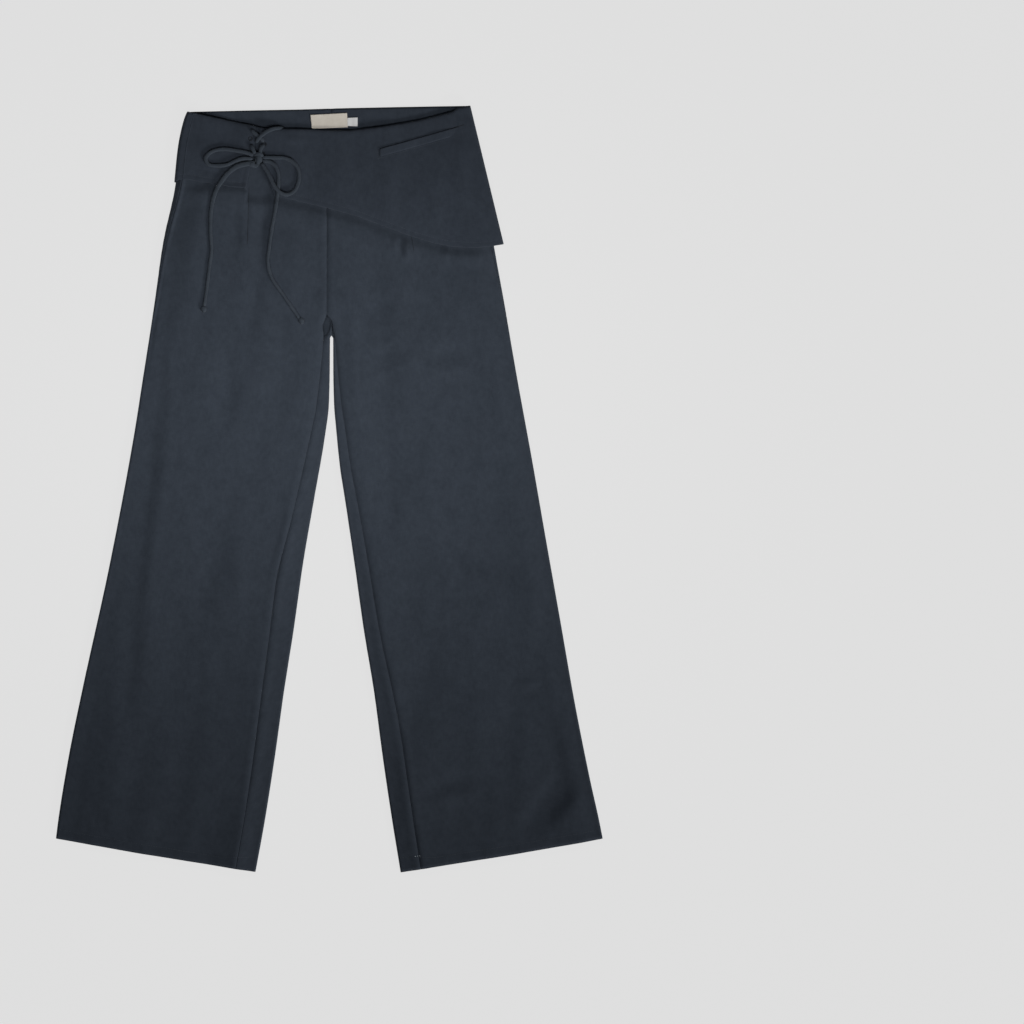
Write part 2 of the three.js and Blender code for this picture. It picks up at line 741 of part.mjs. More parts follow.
// Height of the top face of what lies uppermost at a point.
function skin(x, down) {
  const leg = x < CENTRE_FRONT ? RIGHT : LEFT;
  const out = x * leg.side;
  const lap = along(LAP_BACK_HEM, 'x', 'down', x);
  const off = clamp((down - lap - PAST_HEM) / (OFF_HEM - PAST_HEM), 0, 1);
  const ground = GROUND + LAYER * (1 - off);
  const top = ground + rise(leg, out, down) + CLOTH / 2;
  const onRight = -x > along(LAP_RIGHT_FREE, 'down', 'out', down);
  const onLeft = x > along(LAP_LEFT_FREE, 'down', 'out', down);
  const rightLap = onRight && down < along(LAP_RIGHT_HEM, 'x', 'down', x);
  const leftLap = onLeft && down < along(LAP_LEFT_HEM, 'x', 'down', x);
  return rightLap || leftLap ? top + LAYER : top;
}

// The highest of what lies under a small thing, so that it clears the edges that it crosses.
function highestNear(x, down, around) {
  let high = 0;
  for (let a = -2; a <= 2; a += 1) {
    for (let b = -2; b <= 2; b += 1) {
      high = Math.max(high, skin(x + (a * around) / 2, down + (b * around) / 2));
    }
  }
  return high;
}

// A stretch of the tie, flattened where it lies on the cloth, with closed ends.
function tieStretch(rows) {
  const bare = rows.map((row) => {
    const z = highestNear(row.x, row.down, TIE_WIDE * 0.8) + SEAM + TIE_THICK / 2 + row.lift;
    return new THREE.Vector3(row.x, LENGTH / 2 - row.down, z);
  });
  const curve = new THREE.CatmullRomCurve3(bare, false, 'centripetal');
  const steps = Math.max(Math.round(curve.getLength() / TIE_STEP), rows.length, 3);
  const points = [];
  const faces = [];
  for (let i = 0; i <= steps; i += 1) {
    const middle = curve.getPointAt(i / steps);
    middle.z = Math.max(middle.z, floorFor(middle));
    const ahead = curve.getTangentAt(i / steps);
    const across = new THREE.Vector3(-ahead.y, ahead.x, 0).normalize();
    const up = ahead.clone().cross(across).normalize();
    for (let k = 0; k < TIE_SIDES; k += 1) {
      const a = (2 * Math.PI * (k + 0.5)) / TIE_SIDES;
      const p = middle.clone();
      p.addScaledVector(across, (TIE_WIDE / 2) * Math.cos(a));
      p.addScaledVector(up, (TIE_THICK / 2) * Math.sin(a));
      points.push([p.x, p.y, p.z]);
    }
  }
  for (let i = 0; i < steps; i += 1) {
    for (let k = 0; k < TIE_SIDES; k += 1) {
      const a = i * TIE_SIDES + k;
      const b = i * TIE_SIDES + ((k + 1) % TIE_SIDES);
      faces.push([a, a + TIE_SIDES, b + TIE_SIDES], [a, b + TIE_SIDES, b]);
    }
  }
  const end = steps * TIE_SIDES;
  for (let k = 1; k < TIE_SIDES - 1; k += 1) {
    faces.push([0, k, k + 1], [end, end + k + 1, end + k]);
  }
  return solid(points, faces);
}

function floorFor(middle) {
  const near = highestNear(middle.x, LENGTH / 2 - middle.y, TIE_WIDE * 0.6);
  return near + SEAM + TIE_THICK / 2;
}

// A rounded lump of tied cloth.
function lump(at, size) {
  const ball = new THREE.SphereGeometry(1, 14, 9);
  ball.deleteAttribute('normal');
  ball.deleteAttribute('uv');
  ball.rotateX(Math.PI / 2);
  ball.scale(size.across, size.along, size.high);
  const z = highestNear(at.x, at.down, size.across / 2) + SEAM + size.high;
  ball.translate(at.x, LENGTH / 2 - at.down, z);
  return ball;
}

function weld(geometry) {
  const source = geometry.getAttribute('position');
  const index = geometry.index ? Array.from(geometry.index.array) : [...Array(source.count).keys()];
  const seen = new Map();
  const points = [];
  const place = index.map((k) => {
    const p = [source.getX(k), source.getY(k), source.getZ(k)];
    const key = p.map((v) => Math.round(v * 1e4)).join();
    if (!seen.has(key)) {
      seen.set(key, points.length);
      points.push(p);
    }
    return seen.get(key);
  });
  const faces = [];
  for (let k = 0; k < place.length; k += 3) {
    const [a, b, c] = [place[k], place[k + 1], place[k + 2]];
    if (a !== b && b !== c && c !== a) {
      faces.push([a, b, c]);
    }
  }
  return solid(points, faces);
}

function toManifold(geometry) {
  const positions = geometry.getAttribute('position').array;
  const mesh = { numProp: 3, vertProperties: positions, triVerts: new Uint32Array(geometry.index.array) };
  return new wasm.Manifold(new wasm.Mesh(mesh));
}

// Cuts the tie's eyelets through an overlay piece.
function withEyelets(geometry, eyelets) {
  let body = toManifold(geometry);
  for (const hole of eyelets) {
    const pin = wasm.Manifold.cylinder(30, EYELET_RADIUS, EYELET_RADIUS, EYELET_SIDES, true);
    body = body.subtract(pin.translate([hole.x, LENGTH / 2 - hole.down, 0]));
  }
  const mesh = body.getMesh();
  const cut = new THREE.BufferGeometry();
  cut.setAttribute('position', new THREE.Float32BufferAttribute(mesh.vertProperties, 3));
  cut.setIndex(Array.from(mesh.triVerts));
  return cut;
}

// A flat patch with four corners, given from its top left corner round, on a face at height z.
function patch(corners, z, thick) {
  const spotAt = (row, column) => {
    const share = column / 3;
    const x = lerp(lerp(corners[0].x, corners[1].x, share), lerp(corners[3].x, corners[2].x, share), row);
    const high = lerp(corners[0].down, corners[1].down, share);
    const low = lerp(corners[3].down, corners[2].down, share);
    return { x, down: lerp(high, low, row), z: z + thick / 2, nx: 0, nz: 1 };
  };
  return sheet(2, 4, spotAt, 1, thick);
}

// The slanting pocket's welt lies on the long overlay piece and follows its slope.
function weltPiece() {
  const slope = (WELT.rightDown - WELT.leftDown) / (WELT.right - WELT.left);
  const inner = [1, 2, 3].map((k) => WELT.left + k * 16);
  const spotAt = (row, column) => {
    const pointAt = (down) => {
      const cut = lapSection(LEFT, LAP_LEFT_OUTER, down);
      const marks = lapMarks(cut).slice(0, 3);
      const x = between(WELT.left, WELT.right, [...inner, ...marks])[column];
      const own = rise(LEFT, x, down);
      const z = GROUND + LAYER + LAYER + own + CLOTH / 2 + SEAM + WELT.thick / 2;
      return { x, z, nx: 0, nz: 1 };
    };
    const downAt = (spot) => {
      const middle = WELT.leftDown + slope * (spot.x - WELT.left);
      return middle + (row - 1) * (WELT.deep / 2);
    };
    return settle(50, pointAt, downAt);
  };
  return sheet(3, 8, spotAt, 1, WELT.thick);
}

function piece(name, geometry, colour) {
  const material = new THREE.MeshStandardMaterial({ color: colour, roughness: 0.95, metalness: 0 });
  const mesh = new THREE.Mesh(geometry, material);
  mesh.name = name;
  return mesh;
}

const lapLeftHem = (spot) => {
  const front = along(LAP_LEFT_HEM, 'x', 'down', spot.x);
  const back = along(LAP_BACK_HEM, 'x', 'down', spot.x);
  return lerp(back, front, (spot.nz + 1) / 2);
};
const lapRightHem = (spot) => along(LAP_RIGHT_HEM, 'x', 'down', spot.x);
const insideBack = GROUND + LAYER + CLOTH / 2 + SEAM;
const lapRight = lapPiece(RIGHT, LAP_RIGHT_OUTER, lapRightPlaces, lapRightHem);
const lapLeft = lapPiece(LEFT, LAP_LEFT_OUTER, lapLeftPlaces, lapLeftHem);

const group = new THREE.Group();
group.name = 'layered_trousers';
group.add(
  piece('back_right', trouserPiece(RIGHT, backPlaces, onBack, -1), COLOURS.cloth),
  piece('back_left', trouserPiece(LEFT, backPlaces, onBack, -1), COLOURS.cloth),
  piece('front_right', trouserPiece(RIGHT, frontPlaces, onFront, 1), COLOURS.cloth),
  piece('front_left', trouserPiece(LEFT, frontPlaces, onFront, 1), COLOURS.cloth),
  piece('overlay_back', lapBackPiece(), COLOURS.overlay),
  piece('overlay_front_right', withEyelets(lapRight, EYELETS.right), COLOURS.overlay),
  piece('overlay_front_left', withEyelets(lapLeft, EYELETS.left), COLOURS.overlay),
  piece('pocket_welt', weltPiece(), COLOURS.overlay),
  piece('label_main', patch(MAIN_LABEL, insideBack, LABEL_THICK), COLOURS.label),
  piece('label_size', patch(SIZE_TAB, insideBack, LABEL_THICK), COLOURS.tab),
  piece('tie_cross_right', tieStretch(CROSS_RIGHT), COLOURS.tie),
  piece('tie_cross_left', tieStretch(CROSS_LEFT), COLOURS.tie),
  piece('tie_lead_right', tieStretch(LEAD_RIGHT), COLOURS.tie),
  piece('tie_lead_left', tieStretch(LEAD_LEFT), COLOURS.tie),
  piece('tie_knot', weld(lump(KNOT, KNOT)), COLOURS.tie),
  piece('tie_loop_right', tieStretch(LOOP_RIGHT), COLOURS.tie),
  piece('tie_loop_left', tieStretch(LOOP_LEFT), COLOURS.tie),
  piece('tie_tail_right', tieStretch(TAIL_RIGHT), COLOURS.tie),
  piece('tie_tail_left', tieStretch(TAIL_LEFT), COLOURS.tie),
  piece('tie_end_right', weld(lump(TAIL_ENDS.right, END_KNOT)), COLOURS.tie),
  piece('tie_end_left', weld(lump(TAIL_ENDS.left, END_KNOT)), COLOURS.tie),
);

export default group;
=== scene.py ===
# Layered wide-leg trousers laid flat with the front up, seen from straight above.
# Sizes are in millimetres, as a tailor gives them, and become metres when a mesh is made.
# X is across (the wearer's right is at minus X), "down" is the distance below the highest point
# of the waist, "out" is the distance from the middle, and Z is the height above the surface.
import math

import bpy
import numpy as np
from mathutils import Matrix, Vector


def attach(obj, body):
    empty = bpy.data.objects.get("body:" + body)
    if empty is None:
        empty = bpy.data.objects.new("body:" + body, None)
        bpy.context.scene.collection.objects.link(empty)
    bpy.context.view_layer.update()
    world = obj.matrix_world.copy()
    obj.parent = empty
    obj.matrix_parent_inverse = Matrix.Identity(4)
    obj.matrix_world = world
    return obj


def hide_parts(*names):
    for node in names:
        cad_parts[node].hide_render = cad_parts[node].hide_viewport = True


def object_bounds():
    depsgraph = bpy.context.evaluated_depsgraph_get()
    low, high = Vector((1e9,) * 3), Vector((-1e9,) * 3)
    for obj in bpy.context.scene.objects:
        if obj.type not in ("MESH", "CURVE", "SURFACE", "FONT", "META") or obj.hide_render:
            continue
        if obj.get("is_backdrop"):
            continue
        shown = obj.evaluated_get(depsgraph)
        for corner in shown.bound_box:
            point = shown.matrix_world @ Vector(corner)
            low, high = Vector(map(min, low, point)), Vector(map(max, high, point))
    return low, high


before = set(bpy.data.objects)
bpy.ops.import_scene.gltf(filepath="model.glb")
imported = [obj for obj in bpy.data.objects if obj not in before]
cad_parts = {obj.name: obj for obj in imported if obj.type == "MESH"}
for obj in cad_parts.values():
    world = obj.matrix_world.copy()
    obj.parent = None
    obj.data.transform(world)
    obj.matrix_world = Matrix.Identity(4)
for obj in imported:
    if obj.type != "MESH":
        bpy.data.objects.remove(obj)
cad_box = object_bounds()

MM = 0.001
LENGTH = 1042  # from the waist to the hem

# The camera looks straight down through a long lens. The trousers are left of the picture's middle.
PHOTO_SIDE = 1024  # pixels
MM_PER_PIXEL = 1.36
MIDDLE_PIXEL = (329.5, 489.0)  # where the garment's middle is in the picture
LENS, SENSOR = 100, 36


def put(name, data):
    """Adds an object to the scene, at the origin."""
    item = bpy.data.objects.new(name, data)
    bpy.context.collection.objects.link(item)
    return item


camera_data = bpy.data.cameras.new("camera")
camera_data.lens = LENS
camera_data.sensor_width = SENSOR
camera_data.shift_x = (PHOTO_SIDE / 2 - MIDDLE_PIXEL[0]) / PHOTO_SIDE
camera_data.shift_y = (MIDDLE_PIXEL[1] - PHOTO_SIDE / 2) / PHOTO_SIDE
camera = put("camera", camera_data)
camera.location = (0, 0, PHOTO_SIDE * MM_PER_PIXEL * MM * LENS / SENSOR)
bpy.context.scene.camera = camera


# The surface is a plain sheet of pale paper, wider than any view of it. A small soft box hangs
# over the thighs, and a large low light beyond the left hem draws out the creases.
FLOOR_HALF = 14.0  # metres, as are the lights' places and sizes
PAPER = {
    "Base Color": (0.045, 0.045, 0.045, 1),
    "Roughness": 1.0,
    "Specular IOR Level": 0,
    "Emission Color": (1, 1, 1, 1),
    "Emission Strength": 0.72,
}
LIGHTS = {
    # width and length, power, place, what it faces
    "soft box": ((0.75, 0.2), 2.5, (0, 0.12, 0.55), (0, 0.14, 0)),
    "low side light": ((4.8, 2.8), 1650, (10.4, -11.2, 5.6), (0, 0.2, 0)),
}
ROOM = {"Color": (0.9, 0.93, 1, 1), "Strength": 0.06}


def new_material(name, values):
    """A material with these values on its shader's own sockets."""
    material = bpy.data.materials.new(name)
    material.use_nodes = True
    shader = material.node_tree.nodes["Principled BSDF"]
    for label, value in values.items():
        shader.inputs[label].default_value = value
    return material


floor_mesh = bpy.data.meshes.new("floor")
corners = [(x * FLOOR_HALF, y * FLOOR_HALF, 0) for x, y in ((-1, -1), (1, -1), (1, 1), (-1, 1))]
floor_mesh.from_pydata(corners, [], [(0, 1, 2, 3)])
floor_mesh.materials.append(new_material("pale paper", PAPER))
put("floor", floor_mesh)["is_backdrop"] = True
for name, (size, power, place, aim) in LIGHTS.items():
    lamp = bpy.data.lights.new(name, "AREA")
    lamp.shape = "RECTANGLE"
    lamp.size, lamp.size_y = size
    lamp.energy = power
    light = put(name, lamp)
    light.location = place
    light.rotation_euler = (Vector(aim) - Vector(place)).to_track_quat("-Z", "Y").to_euler()
world = bpy.data.worlds.new("room")
world.use_nodes = True
for label, value in ROOM.items():
    world.node_tree.nodes["Background"].inputs[label].default_value = value
bpy.context.scene.world = world
bpy.context.scene.view_settings.view_transform = "Standard"


# The legs are a plain weave of slate grey with a blue cast. Front and back legs are cut from waist
# to hem. The back comes round both folds to the front, where the side seam and the inseam show.
CLOTH = 1.3  # thickness of one layer
CLOSE = 0.04  # half of the space left at a sewn seam
LAYER = 1.6  # how far one layer lies above the one below it
FOLD = 2.6  # radius of a leg's fold
GROUND = CLOTH / 2  # height of a layer's middle where it lies on the surface
FLAT_RISE = 1.7  # height of the front above the back, away from the folds
CENTRE_FRONT = -3.7  # x of the centre-front seam
SINK = {"inward": [3.25, 10, 22, 40, 65], "rise": [5.2, 4.9, 4.0, 3.0, FLAT_RISE]}
# In each table a line runs through its rows, from the first column to the second.
RIGHT_LEG = {
    "side": -1,
    "outer": {
        "down": [0, 20, 57, 103, 188, 275, 362, 449, 623, 797, 884, 971, 1042],
        "out": [187.6, 196.4, 204.2, 208.7, 226.4, 238.8, 252.3, 265.9, 298.6, 336.6, 354.3, 368.6, 377],
    },
    "inner": {
        "down": [0, 284, 290, 311, 316, 362, 405, 449, 536, 623, 710, 797, 884, 971, 1042],
        "out": [-2.46, -2.46, -3.6, -3.3, -0.8, -0.4, 0.7, 6.1, 21.1, 36, 48.3, 61.9, 74.1, 87.7, 100.6],
    },
    "side_seam": {
        "down": [0, 105, 231, 300, 520, 808, 1042],
        "inward": [10, 8.2, 2.8, 0.3, -3, -10, -10],
    },
    "inseam": {"down": [322, 438, 562, 653, 806, 1042], "inward": [9, 19.3, 26, 33, 30, 28]},
    "crotch": {
        "down": [284, 292, 298, 304, 309, 315.5, 322],
        "edge": [3.74, 7, 9.5, 9.2, 8.4, 8.2, 8.9],
        "curl": [0, 0.3, 0.75, 1, 1, 1, 1],
        "strip": [FOLD, FOLD, FOLD, FOLD, 5, 8.2, 9],
    },
    "centre": -CENTRE_FRONT + CLOSE,
    "shoulder": (2, 46, 30),  # how far in from the outer fold it swells: from, to, more at the hem
    "has_crest": True,
}
LEFT_LEG = {
    "side": 1,
    "outer": {
        "down": [0, 57, 193, 275, 373, 481, 590, 699, 808, 917, 971, 1042],
        "out": [189.4, 200, 223.7, 238.7, 255.5, 275.2, 294.2, 313.5, 332.6, 354.3, 366.3, 380],
    },
    "inner": {
        "down": [0, 284, 290, 311, 316, 362, 405, 438, 492, 536, 623, 710, 797, 884, 971, 1042],
        "out": [2.54, 2.54, 1.4, 1.7, 4.9, 5.1, 6.1, 8.8, 14.3, 21.1, 34, 46.2, 60.5, 72.1, 85, 96.6],
    },
    "side_seam": {"down": [0, 193, 305, 420, 1042], "inward": [4, 4, 0.3, -3, -3]},
    "inseam": {"down": [322, 438, 545, 737, 884, 1042], "inward": [3, 12.4, 16.6, 22, 29, 28]},
    "crotch": {
        "down": [284, 292, 298, 304, 309, 315.5, 322],
        "edge": [-3.66, 3.2, 4.2, 5.2, 6.8, 7.6, 7.6],
        "curl": [0, 0, 0, 0, 0.25, 0.7, 1],
        "strip": [FOLD, FOLD, FOLD, FOLD, FOLD, 2.8, 3],
    },
    "centre": CENTRE_FRONT + CLOSE,
    "shoulder": (1, 34, 0),
    "has_crest": False,
}
LEGS = {"right": RIGHT_LEG, "left": LEFT_LEG}
CROTCH_TOP, CROTCH_END = 284, 322
INNER_FOLD = (250, 304)  # where down the legs the inner fold comes to its full height
CROTCH_CALM = {"share": 0.8, "down": (308, 345), "out": 60}  # the strips lie low at the crotch
NO_CURL = 0.001  # a strip with less curl than this is taken as flat
FRONT_WAIST = {
    "x": [-192, -154, -104, -88, -26, 8, 28, 69, 123, 168, 174, 192],
    "down": [9, 17, 27.5, 31.5, 32.5, 34, 34, 29.2, 19.7, 8.6, 3.2, 0.6],
}
BACK_WAIST = {"x": [-192, -120, -40, 28, 96, 192], "down": [8.6, 7, 5.4, 3.4, 2, 0.4]}
LEG_HEM = {"out": [96, 140, 250, 372], "down": [1041.8, 1034.5, 1017, 995.6]}
# The overlay's edges, which the legs' cloth takes account of: lap is short for the overlay.
LAP_BACK_HEM = {
    "x": [-211, -169, -119, -58, -5, 48, 86, 139, 186, 236],
    "down": [104, 114, 123.8, 138.7, 156.4, 178.2, 190.4, 198.6, 195.8, 188.4],
}
LAP_RIGHT_FREE = {"down": [28, 60, 87, 112], "out": [100, 102, 108.1, 113.2]}
LAP_RIGHT_LEVEL = 106  # about where its right front piece ends
LAP_LEFT_HEM = {
    "x": [-76, -54, -2, 37, 74, 111, 142, 165, 198, 220, 236],
    "down": [122.4, 127.2, 140, 150.6, 164.3, 177.9, 187.1, 191.8, 193.9, 191.8, 188.4],
}
PAST_HEM, OFF_HEM = 6, 30  # below the overlay's hem the legs sink to the surface between these
# The lines across a piece, and how many rows of points lie before each of them.
LINE_ROWS = [0, 56, 10, 16, 48, 150]
LEVELS = (250, 345)
COLUMNS = {"back": (38, 56, 28), "front": (14, 116, 28)}  # in the inner strip, middle, outer strip
STRIPS = {"back": (46, 24), "front": (14, 24)}  # widths of the finer inner and outer strips
MID_LEG = 100  # farther out than this, a back piece's fold is the outer one
SETTLE = 7  # rounds after which the points' places along and down the cloth agree

# Creases: a soft ridge or trough from one point to another. high is below 0 for a trough.
FRONT_CREASES = [
    # x0, down0, x1, down1, wide, high
    (-109.5, 112, -111.5, 190, 3, -0.8),
    (109.5, 165, 115, 200, 3, -0.6),
    (-217, 205, -282, 850, 17, -3.4),
    (290, 780, 326, 990, 24, -4.6),
    (-92, 120, -86, 205, 9, -2.4),
    (-128, 112, -126, 215, 8, -1.3),
    (-92, 190, -118, 345, 17, -3.4),
    (-134, 335, -143, 450, 15, -2.2),
    (-150, 500, -196, 900, 26, -2.5),
    (-60, 420, -110, 620, 20, 1.7),
    (-345, 878, -316, 928, 11, 2),
    (-330, 930, -300, 990, 9, -1.2),
    (58, 165, 82, 480, 23, -5.6),
    (73, 400, 84, 620, 15, -2.5),
    (126, 235, 152, 325, 17, -2.5),
    (114, 361, 204, 352, 11, 1.6),
    (112, 341, 208, 332, 12, -1.7),
    (120, 572, 288, 652, 19, -5.8),
    (180, 670, 262, 702, 20, 1.7),
    (190, 250, 222, 470, 20, -2),
    (110, 660, 150, 860, 24, -2.2),
    (274, 566, 244, 574, 4.5, 1.4),
    (277, 578, 240, 584, 5.5, -1),
    (288, 781, 258, 791, 5, 1.3),
    (292, 795, 262, 803, 6, -0.8),
    (125, 946, 208, 930, 9, 1.3),
    (122, 926, 204, 910, 10, -1.5),
    (288, 1003, 358, 916, 15, 2.8),
    (264, 985, 326, 895, 18, -2.6),
    (88, 1030, 112, 1000, 4, 1.4),
    (84, 1018, 104, 996, 4, -1.4),
    (-20, 439, -40, 448, 4, -1.1),
    (-82, 823, -104, 830, 4, -1.1),
    (86, 178, 93, 202, 4, 1.6),
    (102, 182, 110, 214, 4, 3.2),
    (94, 180, 101, 208, 4, -2.2),
    (156, 190, 163, 216, 4.5, 1.8),
    (40, 285, 90, 262, 9, -0.8),
    (34, 300, 96, 300, 8, 0.6),
    (-40, 292, -92, 276, 9, -0.8),
]
BACK_CREASES = [
    (120, 300, 30, 345, 10, 1.2),
    (150, 330, 60, 372, 9, 1.1),
    (96, 352, 22, 392, 8, 0.9),
    (-110, 300, -30, 352, 10, 1.2),
    (-120, 340, -40, 388, 9, 0.9),
    (-100, 420, -140, 700, 24, 1.1),
    (120, 430, 170, 760, 26, 1.2),
    (210, 520, 240, 860, 20, 1.0),
    (-230, 560, -260, 820, 20, 1.0),
    (-300, 930, -230, 985, 12, 1.2),
    (300, 905, 240, 990, 12, 1.2),
    (-20, 215, 10, 300, 14, 1.0),
]
CREASE_WAVER, WAVER_LONG = 0.06, 17  # how much a crease wanders, and over what length
CREASE_SIDES = (0.75, 1.2)  # one side of a crease is gentler than the other
CREASE_START, CREASE_FADE = -0.5, 0.35  # where its ends fade, in widths and in lengths
RIPPLES, RIPPLE_TURN, RIPPLE_SIZES, RIPPLE_LEAN = 9, 1.2, (0.6, 1.7), (0.55, 0.12)
BACK_RIPPLES = (3, 120, 0.3)  # seed, size, height
FRONT_RIPPLES = ((5, 95, 0.8), (8, 36, 0.2))
LOFT, LOFT_DOWN = 2.7, (-25, 120)  # air under the front, which comes in below its waist edge
PUFF, PUFF_DOWN = 3.2, (-1, 15)  # and more below the overlay, whose weight presses on the tops
# The front's waist edge stands off the back, less toward both sides, and the back's off the surface.
OPEN = {"high": 0.8, "deep": 16, "left": (160, 60), "right": (150, 80)}
BACK_EDGE, BACK_EDGE_DEEP = 1.0, 10
LEAST_LIFT = 0.1  # of one layer above the next, between the folds
INNER_SWELL, LEGS_PART = (2, 34), (260, 320)  # the same at the inner fold, from the crotch down
SHOULDER_DOWN = (300, 900)
HEM_DEEP, HEM_DEEPER, HEM_TAPER = 13, 7, 48  # height of the hem's stitches, more at the inseam
HEM_GROOVE, HEM_GROOVE_WIDE = 0.3, 2.0
# A seam is a narrow groove with a swell beside it. The right side seam is a crest with a fine notch,
# from which the cloth falls to the fold.
SEAM = {"groove": 1.15, "groove_wide": 2.2, "swell": 0.4, "swell_in": 7, "swell_wide": 4}
CREST = {"high": 2.4, "wide": 3.4, "notch": 0.7, "notch_wide": 1.0}
CREST |= {"down": (280, 420), "fall": (2.1, 10)}
PRESSED, PRESSED_DOWN = 0.8, (900, 985)  # the right leg's seams are flatter near the hem
EDGE_HALF = 0.45  # half the thickness at a cut edge, in thicknesses


def smooth(table, at):
    """A smooth line through a table, which never goes past its values."""
    xs, ys = (np.array(column, float) for column in table.values())
    step = np.diff(ys) / np.diff(xs)
    before, after = np.append(step[0], step), np.append(step, step[-1])
    both = np.where(before + after == 0, 1, before + after)
    slope = np.where(before * after > 0, 2 * before * after / both, 0)
    at = np.clip(at, xs[0], xs[-1])
    i = np.clip(np.searchsorted(xs, at, side="left"), 1, len(xs) - 1)
    span = xs[i] - xs[i - 1]
    t = (at - xs[i - 1]) / span
    start = (2 * t**3 - 3 * t**2 + 1) * ys[i - 1] + (t**3 - 2 * t**2 + t) * span * slope[i - 1]
    return start + (3 * t**2 - 2 * t**3) * ys[i] + (t**3 - t**2) * span * slope[i]


def along(table, at, name=None):
    """A straight line from row to row of a table, from its first column to another."""
    first, second = list(table)[:2]
    return np.interp(at, table[first], table[name or second])


def ease(value, low, high):
    t = np.clip((value - low) / (high - low), 0, 1)
    return t * t * (3 - 2 * t)


def bell(away, wide):
    return np.exp(-((away / wide) ** 2))


def arc_of(inward, radius):
    """Length of cloth from a fold's edge to a point this far in as seen from above."""
    size = np.maximum(np.abs(inward) - CLOTH / 2, 0)
    bent = radius * np.arccos(1 - np.minimum(size, radius) / radius)
    far = size - radius + math.pi / 2 * radius
    return np.sign(inward) * np.where(size > radius, far, bent)


def round_fold(place, bend, radius):
    """Cloth that runs out to a fold and back: how far out, how far turned, how far past it."""
    turn = np.clip((place - bend) / radius, 0, math.pi)
    past = np.maximum(place - bend - math.pi * radius, 0)
    return np.minimum(place, bend) + radius * np.sin(turn) - past, turn, past


def rise(leg, out, down):
    """How far the front lies above the back: most at the folds, little between them."""
    start, end = INNER_FOLD
    grown = np.clip((down - start) / (end - start), 0, 1)
    at_outer = along(SINK, smooth(leg["outer"], down) - out)
    at_inner = along(SINK, np.maximum(out - smooth(leg["inner"], down), SINK["inward"][0]))
    return np.maximum(at_outer, FLAT_RISE + (at_inner - FLAT_RISE) * grown)


def section(leg, down):
    """Where a leg's folds and edges are, at some distances down."""
    inner = smooth(leg["inner"], down)
    at_crotch = down < CROTCH_END
    strip = np.where(at_crotch, along(leg["crotch"], down, "strip"), smooth(leg["inseam"], down))
    curl = along(leg["crotch"], down, "curl")
    turned = math.pi / 2 * FOLD + arc_of(strip, FOLD) - CLOSE
    quarter = np.minimum(curl * np.minimum(turned / FOLD, math.pi), math.pi / 2)
    reach = np.where(curl > NO_CURL, FOLD / np.maximum(curl, NO_CURL) * np.sin(quarter), turned)
    edge = np.where(at_crotch, along(leg["crotch"], down, "edge"), inner + strip + CLOSE)
    return {
        "bend": smooth(leg["outer"], down) - CLOTH / 2 - FOLD,
        "seam": arc_of(along(leg["side_seam"], down), FOLD),
        "curl": curl,
        "turned": turned,
        "base": inner + CLOTH / 2 * np.sin(quarter) + reach,
        "edge": np.where(down < CROTCH_TOP, leg["centre"], edge),
    }


def on_back(leg, cut, place, down, ground):
    """Out, height and facing of points on the back. place counts outward along the cloth."""
    out, a, past = round_fold(place, cut["bend"], FOLD)
    z = ground + FOLD * (1 - np.cos(a))
    z = np.where(past > 0, ground + rise(leg, out, down), z)
    gone = np.maximum(cut["base"] - place, 0)
    curl = np.maximum(cut["curl"], NO_CURL)
    b = curl * np.minimum(gone, math.pi * FOLD) / FOLD
    rest = np.maximum(gone - math.pi * FOLD, 0)
    inner_out = cut["base"] - FOLD / curl * np.sin(b) - rest * np.cos(b)
    inner_z = ground + FOLD / curl * (1 - np.cos(b)) + rest * np.sin(b)
    inner_z = np.where((rest > 0) & (cut["curl"] > 0.99), ground + rise(leg, inner_out, down), inner_z)
    inside = gone > 0
    facing = np.where(inside, -np.cos(b), -np.cos(a))
    return np.where(inside, inner_out, out), np.where(inside, inner_z, z), facing


def on_front(leg, cut, place, down, ground):
    out, a, _ = round_fold(place, cut["bend"], FOLD)
    z = np.where(a > 0, ground + FOLD * (1 + np.cos(a)), ground + rise(leg, out, down))
    return out, z, np.cos(a)


def creases(rows, x, down):
    """The sum of the creases at a point."""
    high = np.zeros_like(x)
    for x0, down0, x1, down1, wide, tall in rows:
        run = np.array([x1 - x0, down1 - down0], float)
        length = float(np.hypot(*run))
        run /= length
        t = (x - x0) * run[0] + (down - down0) * run[1]
        away = (x - x0) * -run[1] + (down - down0) * run[0]
        away = away + CREASE_WAVER * wide * np.sin(t / WAVER_LONG + x0)
        start, fade = CREASE_START * wide, CREASE_FADE * length + wide
        ends = ease(t, start, fade) * ease(length - t, start, fade)
        high += tall * ends * bell(away * np.where(away > 0, *CREASE_SIDES), wide)
    return high


def ripples(x, down, seed, size, high):
    """Gentle unevenness of laid cloth, longer down the leg than across it."""
    dice = np.random.default_rng(seed)
    total = np.zeros_like(x)
    for k in range(RIPPLES):
        turn = dice.uniform(-RIPPLE_TURN, RIPPLE_TURN)
        wave = size * dice.uniform(*RIPPLE_SIZES)
        ahead = x * math.cos(turn) + RIPPLE_LEAN[0] * down * math.sin(turn) + RIPPLE_LEAN[1] * down
        total += np.sin(2 * math.pi * ahead / wave + dice.uniform(0, 7)) / math.sqrt(RIPPLES)
    return high * total


def lift_back(x, down):
    """Where the back is a little off the surface. It is never below it."""
    wavy = ripples(x, down, *BACK_RIPPLES) + creases(BACK_CREASES, x, down)
    return np.maximum(wavy, 0) + BACK_EDGE * bell(down - along(BACK_WAIST, x), BACK_EDGE_DEEP)


